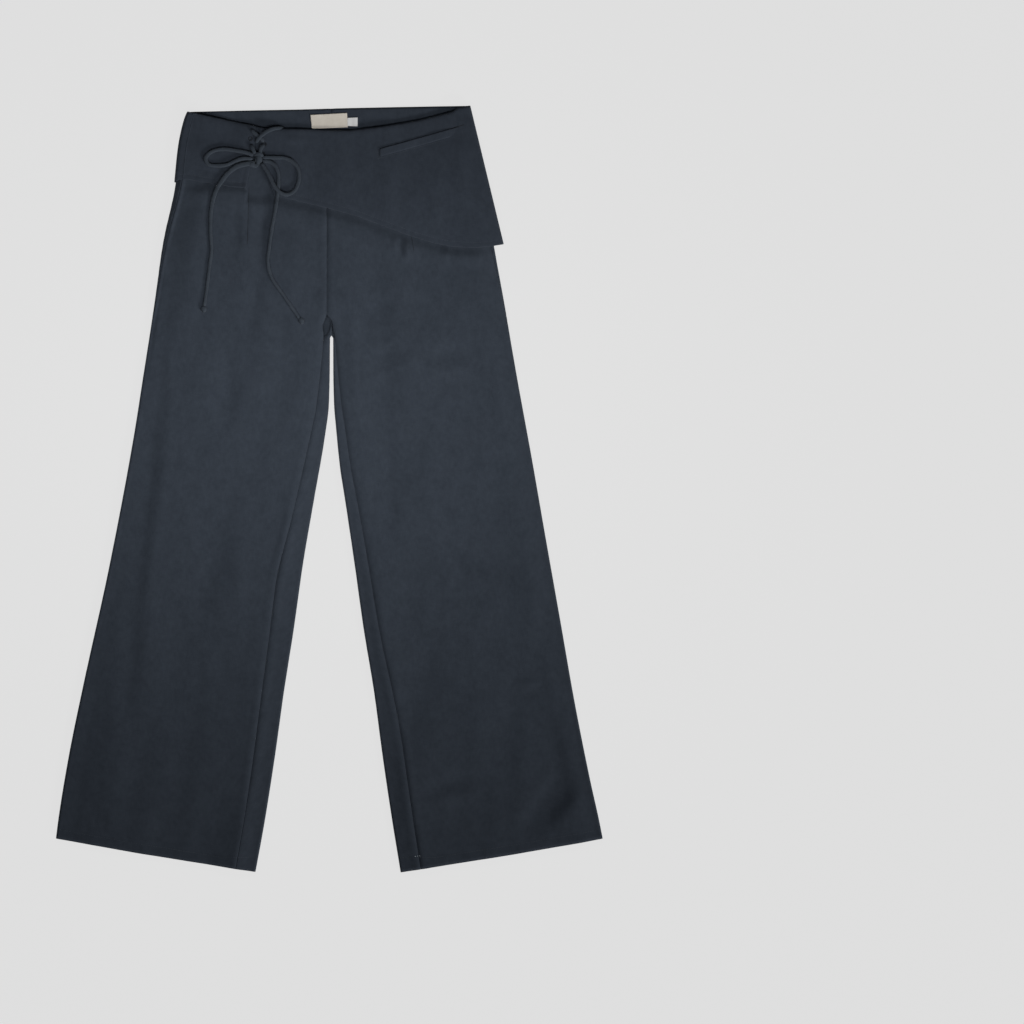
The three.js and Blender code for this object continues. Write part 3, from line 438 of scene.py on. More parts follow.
def lift_front(leg, out, down):
    """How far the front is above its plain form: nothing at a fold, most between the folds."""
    x = leg["side"] * out
    near, far, lower = leg["shoulder"]
    far = far + lower * ease(down, *SHOULDER_DOWN)
    from_outer = ease(smooth(leg["outer"], down) - out, near, far)
    from_inner = ease(out - smooth(leg["inner"], down), *INNER_SWELL)
    from_inner = 1 - ease(down, *LEGS_PART) * (1 - from_inner)
    small, smaller = (ripples(x, down, *values) for values in FRONT_RIPPLES)
    hem = np.where(x < -LAP_RIGHT_FREE["out"][-1], LAP_RIGHT_LEVEL, along(LAP_LEFT_HEM, x))
    below_waist = down - along(FRONT_WAIST, x)
    (left, left_fade), (right, right_fade) = OPEN["left"], OPEN["right"]
    opened = OPEN["high"] * bell(below_waist, OPEN["deep"]) * ease(left - x, 0, left_fade)
    opened = opened * ease(x + right, 0, right_fade)
    own = LOFT * ease(below_waist, *LOFT_DOWN) + PUFF * ease(down - hem, *PUFF_DOWN) + opened
    own = own + (small + smaller) + creases(FRONT_CREASES, x, down)
    return np.maximum(own, LEAST_LIFT) * from_outer * from_inner


def rows_and_lines():
    """For each row of points: the line above it, and how far it is toward the next."""
    line, share = [0], [0.0]
    for k, count in enumerate(LINE_ROWS[1:]):
        line += [k] * count
        share += [(i + 1) / count for i in range(count)]
    return np.array(line)[:, None], np.array(share)[:, None]


def waist_at(x, facing):
    back, front = along(BACK_WAIST, x), along(FRONT_WAIST, x)
    return back + (front - back) * (facing + 1) / 2


def columns(start, end, counts, first, last):
    """Points between two edges, finer in the first and last strips."""
    total = sum(counts)
    places = []
    for j in range(total + 1):
        if j <= counts[0]:
            places.append(start + first * j / counts[0])
        elif j <= counts[0] + counts[1]:
            t = (j - counts[0]) / counts[1]
            places.append((start + first) * (1 - t) + (end - last) * t)
        else:
            places.append(end - last * (total - j) / counts[2])
    return np.stack(places, axis=1)


def leg_grid(leg, part):
    """Points of a leg's front or back as arrays: x, down, height, and place along the cloth."""
    line, share = rows_and_lines()
    counts = COLUMNS[part]
    rows, cols = np.arange(len(line))[:, None], np.arange(sum(counts) + 1)[None, :]
    ground = GROUND + LAYER * (1 - ease(line + share, 1, 2)) + 0 * cols
    down = line * 200.0 + 20 + 0 * cols  # a first guess
    for _ in range(SETTLE):
        cut = {name: np.broadcast_to(value, down.shape) for name, value in section(leg, down).items()}
        if part == "back":
            start = cut["base"] - cut["turned"]
            end = cut["bend"] + math.pi / 2 * FOLD + cut["seam"] - CLOSE
            place = columns(start[:, 0], end[:, -1], counts, *STRIPS[part])
            out, z, facing = on_back(leg, cut, place, down, ground)
            shown = np.where(out > MID_LEG, facing, -1)
        else:
            end = cut["bend"] + math.pi / 2 * FOLD - cut["seam"] - CLOSE
            place = columns(cut["edge"][:, 0], end[:, -1], counts, *STRIPS[part])
            out, z, shown = on_front(leg, cut, place, down, ground)
            facing = shown
        x = leg["side"] * out
        lap = along(LAP_BACK_HEM, x)
        lines = [waist_at(x, shown), lap + PAST_HEM, lap + OFF_HEM]
        lines += [0 * x + level for level in LEVELS] + [along(LEG_HEM, out)]
        stack = np.stack(lines)
        above, below = stack[line, rows, cols], stack[line + 1, rows, cols]
        down = above + (below - above) * share
    top = (facing + 1) / 2
    raised = lift_front(leg, out, down) + lift_back(x, down)
    if part == "back":
        near_crotch = (1 - ease(down, *CROTCH_CALM["down"])) * (out < CROTCH_CALM["out"])
        raised *= 1 - CROTCH_CALM["share"] * near_crotch
    return x, down, z + lift_back(x, down) * (1 - top) + raised * top, place


def seam_form(leg, out, place, down):
    """Cloth sinks into a seam and swells beside it. The right side seam stands up as a crest."""
    total = np.zeros_like(place)
    crest = (1 - ease(down, *CREST["down"])) * leg["has_crest"]
    pressed = 1 - PRESSED * ease(down, *PRESSED_DOWN) * leg["has_crest"]
    for edge, proud in ((place[:, :1], 0 * down), (place[:, -1:], crest)):
        away = np.abs(place - edge)
        swell = SEAM["swell"] * bell(away - SEAM["swell_in"], SEAM["swell_wide"])
        sunk = (swell - SEAM["groove"] * bell(away, SEAM["groove_wide"])) * pressed
        ridge = CREST["high"] * bell(away, CREST["wide"])
        raised = ridge - CREST["notch"] * bell(away, CREST["notch_wide"])
        total += sunk * (1 - proud) + raised * proud
    fall, wide = CREST["fall"]
    return total - fall * crest * (1 - ease(smooth(leg["outer"], down) - out, 0, wide))


def volume_of(points, faces):
    """Six times the volume, for its sign: below 0 where the faces look inwards."""
    p = points[faces]
    return np.einsum("ij,ij->i", p[:, 0], np.cross(p[:, 1], p[:, 2])).sum()


def cloth_mesh(name, x, down, z, place, material, up, thick=CLOTH):
    """A closed thin shell round a grid of points. up is the side that its face is on."""
    middle = np.stack([x, LENGTH / 2 - down, z], axis=-1)
    normal = np.cross(np.gradient(middle, axis=1), np.gradient(middle, axis=0))
    normal /= np.maximum(np.linalg.norm(normal, axis=-1, keepdims=True), 1e-9)
    normal *= up
    rows, cols = x.shape
    half = np.full((rows, cols, 1), thick / 2)
    half[0], half[-1], half[:, 0], half[:, -1] = [thick * EDGE_HALF] * 4
    points = np.concatenate([middle + normal * half, middle - normal * half]).reshape(-1, 3) * MM
    grid = np.arange(rows * cols).reshape(rows, cols)
    quads = np.stack([grid[:-1, :-1], grid[:-1, 1:], grid[1:, 1:], grid[1:, :-1]], axis=-1)
    quads = quads.reshape(-1, 4)
    other = quads[:, ::-1] + rows * cols
    loop = np.concatenate([grid[0, :-1], grid[:-1, -1], grid[-1, :0:-1], grid[:0:-1, 0]])
    after = np.roll(loop, -1)
    rim = np.stack([after, loop, loop + rows * cols, after + rows * cols], axis=-1)
    faces = np.concatenate([quads, other, rim])
    if volume_of(points, faces) < 0:
        faces = faces[:, ::-1]
    mesh = bpy.data.meshes.new(name)
    mesh.from_pydata(points.tolist(), [], faces.tolist())
    layer = mesh.uv_layers.new(name="cloth")
    flat = np.stack([place, down], axis=-1).reshape(-1, 2) * MM
    layer.data.foreach_set("uv", np.concatenate([flat, flat])[faces.reshape(-1)].reshape(-1))
    mesh.materials.append(material)
    mesh.polygons.foreach_set("use_smooth", np.arange(len(faces)) < 2 * len(quads))
    return put(name, mesh)


def cut_of(down, place, long=None):
    """A piece's flat size in metres and its area, from its widths along the cloth."""
    a = (place[:-1, :-1] - place[1:, 1:]) * (down[:-1, 1:] - down[1:, :-1])
    b = (place[:-1, 1:] - place[1:, :-1]) * (down[:-1, :-1] - down[1:, 1:])
    area = float(np.abs(a - b).sum() / 2 * MM * MM)
    wide = round(float(np.ptp(place, axis=1).max()) * MM, 3)
    long = long or round(float(np.ptp(down)) * MM, 3)
    return {"flat": (wide, long), "area": min(round(area, 4), wide * long)}


# The weave is made from the cloth's own UV map, so that its threads follow every piece's grain.
SLUBS = ((1500, 90, 1), (110, 1300, 1), (170, 130, 1), (62, 48, 1))  # warp, weft and two coarser
COARSE = 1.6  # how much more the two coarser ones count
SLUB_RANGE = {"From Min": 2.0, "From Max": 3.2}
WEAVE_WAVE = {"Scale": 1.0, "Distortion": 0.6, "Detail Scale": 0.5}


def add_node(tree, kind, values={}, **settings):
    """A node with these settings, and these values on its sockets."""
    node = tree.nodes.new(kind)
    for name, value in settings.items():
        setattr(node, name, value)
    for name, value in values.items():
        node.inputs[name].default_value = value
    return node


def add_sum(tree, one, other, times=1.0):
    """A node for one output taken a number of times, and another output added to it."""
    node = add_node(tree, "ShaderNodeMath", {1: times}, operation="MULTIPLY_ADD")
    tree.links.new(one, node.inputs[0])
    tree.links.new(other, node.inputs[2])
    return node.outputs[0]


def weave_group():
    """Plain weave: a colour with slubs, and the height of its threads."""
    tree = bpy.data.node_groups.new("plain weave", "ShaderNodeTree")
    sockets = [("Light", "INPUT", "Color"), ("Dark", "INPUT", "Color"), ("Threads", "INPUT", "Float")]
    sockets += [("Color", "OUTPUT", "Color"), ("Height", "OUTPUT", "Float")]
    for name, way, kind in sockets:
        tree.interface.new_socket(name, in_out=way, socket_type=f"NodeSocket{kind}")
    link = tree.links.new
    given, result = add_node(tree, "NodeGroupInput"), add_node(tree, "NodeGroupOutput")
    cloth = add_node(tree, "ShaderNodeUVMap", uv_map="cloth")
    scaled = add_node(tree, "ShaderNodeVectorMath", operation="SCALE")
    link(cloth.outputs[0], scaled.inputs[0])
    link(given.outputs["Threads"], scaled.inputs["Scale"])
    waves = []
    for direction in ("X", "Y"):
        wave = add_node(tree, "ShaderNodeTexWave", WEAVE_WAVE, bands_direction=direction)
        link(scaled.outputs[0], wave.inputs["Vector"])
        waves.append(wave.outputs["Fac"])
    slubs = []
    for stretch in SLUBS:
        move = add_node(tree, "ShaderNodeMapping", {"Scale": stretch})
        noise = add_node(tree, "ShaderNodeTexNoise", {"Scale": 1.0, "Detail": 3.0})
        link(cloth.outputs[0], move.inputs["Vector"])
        link(move.outputs[0], noise.inputs["Vector"])
        slubs.append(noise.outputs["Fac"])
    fine, broad = add_sum(tree, slubs[0], slubs[1]), add_sum(tree, slubs[2], slubs[3])
    uneven = add_sum(tree, broad, fine, COARSE)
    tone = add_node(tree, "ShaderNodeMapRange", SLUB_RANGE)
    mix = add_node(tree, "ShaderNodeMix", data_type="RGBA")
    link(uneven, tone.inputs["Value"])
    link(tone.outputs["Result"], mix.inputs["Factor"])
    link(given.outputs["Dark"], mix.inputs["A"])
    link(given.outputs["Light"], mix.inputs["B"])
    link(mix.outputs["Result"], result.inputs["Color"])
    link(add_sum(tree, add_sum(tree, *waves), uneven, 0.5), result.inputs["Height"])
    return tree


weave = weave_group()


def cloth_material(name, light, dark, threads=1300, depth=0.12):
    look = {"Base Color": (*light, 1), "Roughness": 0.92, "Specular IOR Level": 0.2}
    look |= {"Sheen Weight": 0.04, "Sheen Roughness": 0.5}
    material = new_material(name, look)
    tree = material.node_tree
    shader, link = tree.nodes["Principled BSDF"], tree.links.new
    tones = {"Light": (*light, 1), "Dark": (*dark, 1), "Threads": threads}
    woven = add_node(tree, "ShaderNodeGroup", tones, node_tree=weave)
    bump = add_node(tree, "ShaderNodeBump", {"Distance": 0.0002, "Strength": depth})
    link(woven.outputs["Color"], shader.inputs["Base Color"])
    link(woven.outputs["Height"], bump.inputs["Height"])
    link(bump.outputs["Normal"], shader.inputs["Normal"])
    return material


def finish_piece(piece, node, slot, flat=None, area=None, rests_on=()):
    """Hangs a piece from the root and hides the model's part that it stands for."""
    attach(piece, "root")
    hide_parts(node)


def hem_depth(leg, out):
    inner = leg["inner"]["out"][-1]
    return HEM_DEEP + HEM_DEEPER * (1 - np.clip((out - inner) / HEM_TAPER, 0, 1))


slate = cloth_material("slate weave", (0.0386, 0.0485, 0.0646), (0.0286, 0.0365, 0.0494))
pieces = {}
for part in ("back", "front"):
    for side_name, leg in LEGS.items():
        x, down, z, place = leg_grid(leg, part)
        out = leg["side"] * x
        stitched = bell(down - (along(LEG_HEM, out) - hem_depth(leg, out)), HEM_GROOVE_WIDE)
        top = np.where(z > FOLD + 0.5, 1, -0.5) if part == "back" else np.ones_like(z)
        formed = top * (seam_form(leg, out, place, down) - HEM_GROOVE * stitched)
        name = f"{part}_{side_name}_cloth"
        up = -1 if part == "back" else 1
        piece = cloth_mesh(name, x, down, np.maximum(z + formed, GROUND), place, slate, up)
        pieces[part, side_name] = piece
        under = ["overlay_back_cloth", "floor"] if part == "back" else [f"back_{side_name}_cloth"]
        cut = cut_of(down, place, long=1.04)
        finish_piece(piece, f"{part}_{side_name}", "cloth", rests_on=under, **cut)


# The legs' stitches lie sunk in the cloth. A row holds each turned-up hem, a few pale ones tack the
# left hem at its inseam, and the darts are sewn from the waist down to a point in close rows of
# near-black thread, which paint the shade along each dart.
THREAD = {"Base Color": (0.044, 0.055, 0.071, 1), "Roughness": 0.7}
# Near-black thread, laid in close rows, paints shade: along the darts, in the eyelets' holes and in the
# pocket's slit.
PAINTED_SHADE_THREAD = {"Base Color": (0.009, 0.011, 0.015, 1), "Roughness": 0.9}
PALE_THREAD = {"Base Color": (0.42, 0.46, 0.5, 1), "Roughness": 0.6}
# Each kind of stitch has its pitch, length and thickness, and a seed for its unevenness.
HEM_STITCH, TACK_STITCH, DART_STITCH = (3.4, 2.5, 0.5, 5), (2.4, 2.3, 0.8, 4), (1.1, 1.5, 0.75, 7)
HEM_SUNK, TACK_SUNK, DART_SUNK = 0.05, 0.1, 0.12  # how far a thread's middle is below the face
HEM_INNER, HEM_OUTER = (20, 3), (60, 4)  # where its row ends: above the hem, in from the fold
TACK = [(v, 1019.4 - 0.1 * (v - 117)) for v in (116.5, 118.5, 120.5, 122.5)]
DARTS = {
    "dart_right": ("front_right", [(-109.3, 112), (-109.8, 135), (-110.6, 160), (-111.6, 188)]),
    "dart_left": ("front_left", [(109, 166), (111.5, 180), (114.4, 198)]),
}


def stitch_maker():
    """Geometry Nodes that lay short stitches along an edge, each a little different."""
    tree = bpy.data.node_groups.new("row of stitches", "GeometryNodeTree")
    wanted = {"Row": "Geometry", "Pitch": "Float", "Length": "Float", "Width": "Float"}
    wanted |= {"Seed": "Int", "Thread": "Material"}
    sockets = {}
    for name, kind in wanted.items():
        socket = tree.interface.new_socket(name, in_out="INPUT", socket_type=f"NodeSocket{kind}")
        sockets[name] = socket.identifier
    tree.interface.new_socket("Stitches", in_out="OUTPUT", socket_type="NodeSocketGeometry")
    link = tree.links.new
    given, result = add_node(tree, "NodeGroupInput"), add_node(tree, "NodeGroupOutput")
    curve = add_node(tree, "GeometryNodeMeshToCurve")
    spaced = add_node(tree, "GeometryNodeResampleCurve", mode="LENGTH")
    ball = {"Segments": 8, "Rings": 5, "Radius": 0.5}
    thread = add_node(tree, "GeometryNodeMeshUVSphere", ball)
    tangent = add_node(tree, "GeometryNodeInputTangent")
    turned = add_node(tree, "FunctionNodeAlignRotationToVector", axis="X")
    size = add_node(tree, "ShaderNodeCombineXYZ")
    between = {0: (0.8, 0.9, 0.9), 1: (1.1, 1.15, 1.1)}
    uneven = add_node(tree, "FunctionNodeRandomValue", between, data_type="FLOAT_VECTOR")
    scaled = add_node(tree, "ShaderNodeVectorMath", operation="MULTIPLY")
    placed = add_node(tree, "GeometryNodeInstanceOnPoints")
    real = add_node(tree, "GeometryNodeRealizeInstances")
    coloured = add_node(tree, "GeometryNodeSetMaterial")
    smoothed = add_node(tree, "GeometryNodeSetShadeSmooth")
    for one, out_name, other, in_name in (
        (given, "Row", curve, "Mesh"),
        (curve, "Curve", spaced, "Curve"),
        (given, "Pitch", spaced, "Length"),
        (spaced, "Curve", placed, "Points"),
        (thread, "Mesh", placed, "Instance"),
        (tangent, "Tangent", turned, "Vector"),
        (turned, "Rotation", placed, "Rotation"),
        (given, "Length", size, "X"),
        (given, "Width", size, "Y"),
        (given, "Width", size, "Z"),
        (given, "Seed", uneven, "Seed"),
        (size, "Vector", scaled, 0),
        (uneven, 0, scaled, 1),
        (scaled, "Vector", placed, "Scale"),
        (placed, "Instances", real, "Geometry"),
        (real, "Geometry", coloured, "Geometry"),
        (given, "Thread", coloured, "Material"),
        (coloured, "Geometry", smoothed, 0),
        (smoothed, 0, result, "Stitches"),
    ):
        link(one.outputs[out_name], other.inputs[in_name])
    return tree, sockets


stitch_tree, stitch_sockets = stitch_maker()


def stitch_rows(name, rows, kind, thread, node, slot="cloth"):
    """Stitches along rows of points given as x, down and height."""
    points, edges = [], []
    for row in rows:
        first = len(points)
        points += [(x * MM, (LENGTH / 2 - down) * MM, z * MM) for x, down, z in row]
        edges += [(first + i, first + i + 1) for i in range(len(row) - 1)]
    mesh = bpy.data.meshes.new(f"{name}_row")
    mesh.from_pydata(points, edges, [])
    maker = put(f"{name}_row", mesh)
    modifier = maker.modifiers.new("stitches", "NODES")
    modifier.node_group = stitch_tree
    pitch, long, thick, seed = kind
    values = {"Pitch": pitch * MM, "Length": long * MM, "Width": thick * MM, "Seed": seed}
    for label, value in (values | {"Thread": thread}).items():
        modifier[stitch_sockets[label]] = value
    ready = maker.evaluated_get(bpy.context.evaluated_depsgraph_get())
    sewn = bpy.data.meshes.new_from_object(ready)
    sewn.name = name
    bpy.data.objects.remove(maker)
    finish_piece(put(name, sewn), node, slot)


def surface(pieces, x, down, below=False):
    """Height of the outermost of some pieces at a point, from above or from below."""
    found = []
    way = 1 if below else -1
    start = Vector((x * MM, (LENGTH / 2 - down) * MM, -way * 0.1))
    for piece in pieces:
        hit, at, _, _ = piece.ray_cast(start, Vector((0, 0, way)))
        if hit:
            found.append(at.z / MM)
    return (min(found) if below else max(found)) if found else None


def row_on(pieces, places, sink, below=False):
    """A row of points on some pieces, with the thread sunk this far into the cloth."""
    heights = [surface(pieces, x, down, below) for x, down in places]
    sink = sink if below else -sink
    return [(x, down, z + sink) for (x, down), z in zip(places, heights) if z is not None]


thread = new_material("slate thread", THREAD)
# This near-black thread paints shade lines; it is not a thread colour of the garment.
painted_shade_thread = new_material("thread painted as shade", PAINTED_SHADE_THREAD)
bpy.context.view_layer.update()
for side_name, leg in LEGS.items():
    own = [pieces[part, side_name] for part in ("back", "front")]
    (above_inner, inner_in), (above_outer, outer_in) = HEM_INNER, HEM_OUTER
    inner = float(smooth(leg["inner"], LENGTH - above_inner)) + inner_in
    outer = float(smooth(leg["outer"], LENGTH - above_outer)) - outer_in
    outs = np.linspace(inner, outer, 90)
    places = [(leg["side"] * v, float(along(LEG_HEM, v) - hem_depth(leg, v))) for v in outs]
    rows = [row_on(own, places, HEM_SUNK, below) for below in (False, True)]
    stitch_rows(f"hem_stitches_{side_name}", rows, HEM_STITCH, thread, f"front_{side_name}")
pale_thread = new_material("pale thread", PALE_THREAD)
tack = row_on([pieces["back", "left"], pieces["front", "left"]], TACK, TACK_SUNK)
stitch_rows("hem_tack_left", [tack], TACK_STITCH, pale_thread, "front_left")
# Each dart's row of near-black thread paints the shade along the dart.
for name, (node, places) in DARTS.items():
    t = np.linspace(0, len(places) - 1, 40)
    xs, downs = (np.interp(t, range(len(places)), [p[k] for p in places]) for k in range(2))
    row = row_on([pieces[tuple(node.split("_"))]], list(zip(xs, downs)), DART_SUNK)
    stitch_rows(name, [row], DART_STITCH, painted_shade_thread, node)


# The overlay is a short skirt of the same cloth, sewn into the waist seam all round and cut on a
# slant. Its long front piece comes round the wearer's left side, and its short one ends at the
# right side. Each front piece has two eyelets for the tie.
LAP_FOLD = FOLD + LAYER
LAP_RIGHT_OUTER = {"down": [0, 20, 57, 103], "out": [189.2, 198, 206, 210.8]}
LAP_LEFT_OUTER = {"down": [0, 188], "out": [191.2, 236.6]}
LAP_LEFT_FREE = {"down": [30, 60, 80, 124], "out": [-95.2, -95.2, -89.8, -75.5]}
LAP_RIGHT_HEM = {
    "x": [-211, -203, -194, -168, -149, -135, -113],
    "down": [104, 101.3, 100.6, 105.3, 107.4, 111, 112.3],
}
LAP_SEAM_IN = 11  # how far in from the left fold its back seam is, underneath
LAP_ROWS = 60
LAP_GUESS = 60.0  # a first guess of the rows' distance down
LAST_ROW = 0.997  # the row before the hem is this near to it, so that the edge stays crisp
LAP_CREASES = [
    (150, 60, 205, 150, 16, 0.9),
    (60, 90, 110, 170, 20, 0.9),
    (20, 60, 40, 140, 14, -0.5),
    (-62, 44, -30, 50, 6, 0.8),
    (-70, 52, -34, 60, 6, -0.7),
    (-40, 60, -30, 130, 14, 0.6),
    (-160, 30, -165, 95, 14, 0.8),
    (-190, 20, -120, 34, 8, 0.5),
    (-200, 86, -130, 99, 5, -0.9),
    (110, 22, 120, 60, 10, 0.6),
]
LAP_OFF, LAP_RIPPLES = 0.4, (11, 70, 0.3)  # how far it lies off the legs, and how unevenly
LAP_SWELL = (1, 30)  # how far in from its fold it comes to that
LAP_HEM_DEEP = 7  # of the stitched hems and front edges
LAP_DIPS = {"waist": (0.9, 2.2), "sewn": (0.22, 1.6), "eyelet": (0.7, 2.4)}  # depth, width
EYELETS = {
    "right": [(-107.3, 45.6), (-107.7, 63.9)],  # x, down
    "left": [(-88.4, 52.8), (-90.2, 66.2)],
}
EYELET_RINGS = (2.1, 2.8)
LAP_STITCH, EYELET_STITCH = (3.2, 2.3, 0.45, 9), (0.9, 1.1, 0.75, 3)
LAP_SUNK, EYELET_SUNK = 0.12, 0.05


def lap_own(x, down):
    """The overlay's own soft folds."""
    own = LAP_OFF + ripples(x, down, *LAP_RIPPLES) + creases(LAP_CREASES, x, down)
    return np.maximum(own, LEAST_LIFT)


def lap_lift(leg, out, down):
    """The overlay follows the legs' cloth below it, also where it crosses to the other leg."""
    other = RIGHT_LEG if leg["side"] > 0 else LEFT_LEG
    under = np.where(out >= CENTRE_FRONT, lift_front(leg, out, down), lift_front(other, -out, down))
    x = leg["side"] * out
    inward = smooth(leg["outer"], down) - out
    return under + lift_back(x, down) + lap_own(x, down) * ease(inward, *LAP_SWELL)


def lap_points(leg, outer_rows, counts, strips, edges_of, hem_of, up=1):
    """Points of a piece of the overlay: x, down, place along the cloth, turn at its fold, facing."""
    share = np.append(np.linspace(0, LAST_ROW, LAP_ROWS), 1)[:, None]
    down = np.full((LAP_ROWS + 1, sum(counts) + 1), LAP_GUESS)
    for _ in range(SETTLE):
        bend = smooth(outer_rows, down) - CLOTH / 2 - LAP_FOLD
        start, end = edges_of(down, bend)
        place = columns(start[:, 0], end[:, -1], counts, *strips)
        out, turn, _ = round_fold(place, bend, LAP_FOLD)
        x = leg["side"] * out
        facing = up * np.cos(turn)
        down = waist_at(x, facing) * (1 - share) + hem_of(x, facing) * share
    return x, down, place, turn, facing


def left_edges(down, bend):
    end = bend + math.pi / 2 * LAP_FOLD + arc_of(LAP_SEAM_IN, LAP_FOLD) - CLOSE
    return along(LAP_LEFT_FREE, down), end


def right_edges(down, bend):
    return along(LAP_RIGHT_FREE, down), bend + math.pi / 2 * LAP_FOLD - CLOSE


def back_edges(down, bend):
    far = smooth(LAP_LEFT_OUTER, down)
    return -(far - LAP_SEAM_IN - CLOSE), bend + math.pi / 2 * LAP_FOLD - CLOSE


def left_hem(x, facing):
    front, back = along(LAP_LEFT_HEM, x), along(LAP_BACK_HEM, x)
    return back + (front - back) * (facing + 1) / 2


def right_hem(x, facing):
    return along(LAP_RIGHT_HEM, x)


def back_hem(x, facing):
    return along(LAP_BACK_HEM, x)


def dip(name, away):
    deep, wide = LAP_DIPS[name]
    return deep * bell(away, wide)


# The overlay is cut from the legs' slate weave; its copy of the material is painted a little darker, as
# shade.
shaded_slate_lap = cloth_material(
    "slate weave of the overlay", (0.0364, 0.0457, 0.0614), (0.0272, 0.0345, 0.0472)
)
LAPS = {
    "left": (LEFT_LEG, LAP_LEFT_OUTER, (8, 80, 36), (10, 34), left_edges, left_hem),
    "right": (RIGHT_LEG, LAP_RIGHT_OUTER, (8, 30, 20), (10, 14), right_edges, right_hem),
}
LAP_BACK = (RIGHT_LEG, LAP_RIGHT_OUTER, (10, 92, 18), (14, 16), back_edges, back_hem, -1)
for side_name, plan in LAPS.items():
    x, down, place, turn, facing = lap_points(*plan)
    leg, hem_of = plan[0], plan[-1]
    out = leg["side"] * x
    own = np.where(out < 0, FLAT_RISE, rise(leg, out, np.minimum(down, INNER_FOLD[0])))
    z = np.where(turn > 0, GROUND + LAP_FOLD * (1 + np.cos(turn)), GROUND + LAYER + LAYER + own)
    z = z + lap_lift(leg, out, down) * (facing + 1) / 2
    # The waist edge turns down to the legs' cloth, and the stitched hem and front edge sink.
    sunk = dip("waist", down - waist_at(x, facing))
    sunk = sunk + dip("sewn", down - hem_of(x, facing) + LAP_HEM_DEEP)
    sunk = sunk + dip("sewn", place - place[:, :1] - LAP_HEM_DEEP)
    top = np.clip(facing, 0, 1)
    shaped = z - top * sunk
    for hole_x, hole_down in EYELETS[side_name]:
        shaped -= top * dip("eyelet", np.hypot(x - hole_x, down - hole_down))
    piece = cloth_mesh(f"overlay_{side_name}_cloth", x, down, shaped, place, shaded_slate_lap, 1)
    pieces["lap", side_name] = piece
    node, under = f"overlay_front_{side_name}", [f"front_{side_name}_cloth"]
    finish_piece(piece, node, "overlay", rests_on=under, **cut_of(down, place))

# The overlay's back piece lies on the surface and turns up at the wearer's right side.
x, down, place, turn, _ = lap_points(*LAP_BACK)
z = GROUND + LAP_FOLD * (1 - np.cos(turn))
piece = cloth_mesh("overlay_back_cloth", x, down, z, place, shaded_slate_lap, -1)
pieces["lap", "back"] = piece
flat = (round(float(np.ptp(place)) * MM, 3), round(float(np.ptp(down)) * MM, 3))
area = cut_of(down, place)["area"]
finish_piece(piece, "overlay_back", "overlay", flat, area, ["floor"])

# Its hems are sewn close to their edges, and each eyelet is worked with rings of near-black thread,
# which paint the shade of its hole.
bpy.context.view_layer.update()
for side_name, hem_rows in (("left", LAP_LEFT_HEM), ("right", LAP_RIGHT_HEM)):
    lap_piece, node = pieces["lap", side_name], f"overlay_front_{side_name}"
    xs = np.linspace(hem_rows["x"][0] + 9, hem_rows["x"][-1] - 9, 120)
    places = [(v, float(along(hem_rows, v)) - LAP_HEM_DEEP) for v in xs]
    rows = [row_on([lap_piece], places, LAP_SUNK)]
    stitch_rows(f"overlay_hem_stitches_{side_name}", rows, LAP_STITCH, thread, node, "overlay")
    # The eyelets' rings of near-black thread paint the shade of their holes.
    rings = []
    for hole_x, hole_down in EYELETS[side_name]:
        for wide in EYELET_RINGS:
            turn = np.linspace(0, 2 * math.pi, 25)
            ring = [(hole_x + wide * math.cos(v), hole_down + wide * math.sin(v)) for v in turn]
            rings.append(row_on([lap_piece], ring, EYELET_SUNK))
    stitch_rows(f"eyelets_{side_name}", rings, EYELET_STITCH, painted_shade_thread, node, "overlay")
xs = np.linspace(LAP_BACK_HEM["x"][0] + 12, LAP_BACK_HEM["x"][-1] - 16, 160)
places = [(v, float(along(LAP_BACK_HEM, v)) - LAP_HEM_DEEP) for v in xs]
row = row_on([pieces["lap", "back"]], places, LAP_SUNK, True)
stitch_rows("overlay_hem_stitches_back", [row], LAP_STITCH, thread, "overlay_back", "overlay")


# A single welt closes the slanting pocket on the overlay's long front piece: a folded strip of the
# same cloth. A block of stitches holds its left end and a row runs along its lower edge. Above it a
# close row of near-black thread paints the shadow in the pocket's slit.
WELT = {"left": 68.4, "right": 185, "left_down": 64.6, "right_down": 32, "deep": 10.5, "thick": 1.0}
WELT_SLANT = (WELT["right_down"] - WELT["left_down"]) / (WELT["right"] - WELT["left"])
WELT_SHORT = 3  # how much the strip ends before the slit's end
WELT_OFF, WELT_CROWN, WELT_TILT = 0.3, 0.25, 0.85  # above the cloth, round, lower below
WELT_FADE, WELT_FADE_FROM = 1.5, 0.74  # its right end goes down into the cloth
WELT_STITCH, SLIT_SHADOW_STITCH = (2.2, 1.6, 0.55, 13), (1.1, 1.8, 1.5, 13)
BLOCK_SUNK, LOWER_SUNK, SLIT_SHADOW_SUNK = 0.1, 0.15, 0.45
BLOCK, BLOCK_DEEP, BLOCK_LEAN = (-3.4, -1.4, 0.8), (-6, 6.5), 0.1  # three short rows, leaning
LOWER_ROW, SLIT_SHADOW_ROW = (66, 150, 40, 7.2), (69, 182, 80, -5.6)  # from x, to x, points, lower by


def welt_down(x):
    """How far down the welt's middle is."""
    return WELT["left_down"] + WELT_SLANT * (x - WELT["left"])


def beside_welt(start, end, count, lower):
    return [(v, welt_down(v) + lower) for v in np.linspace(start, end, count)]


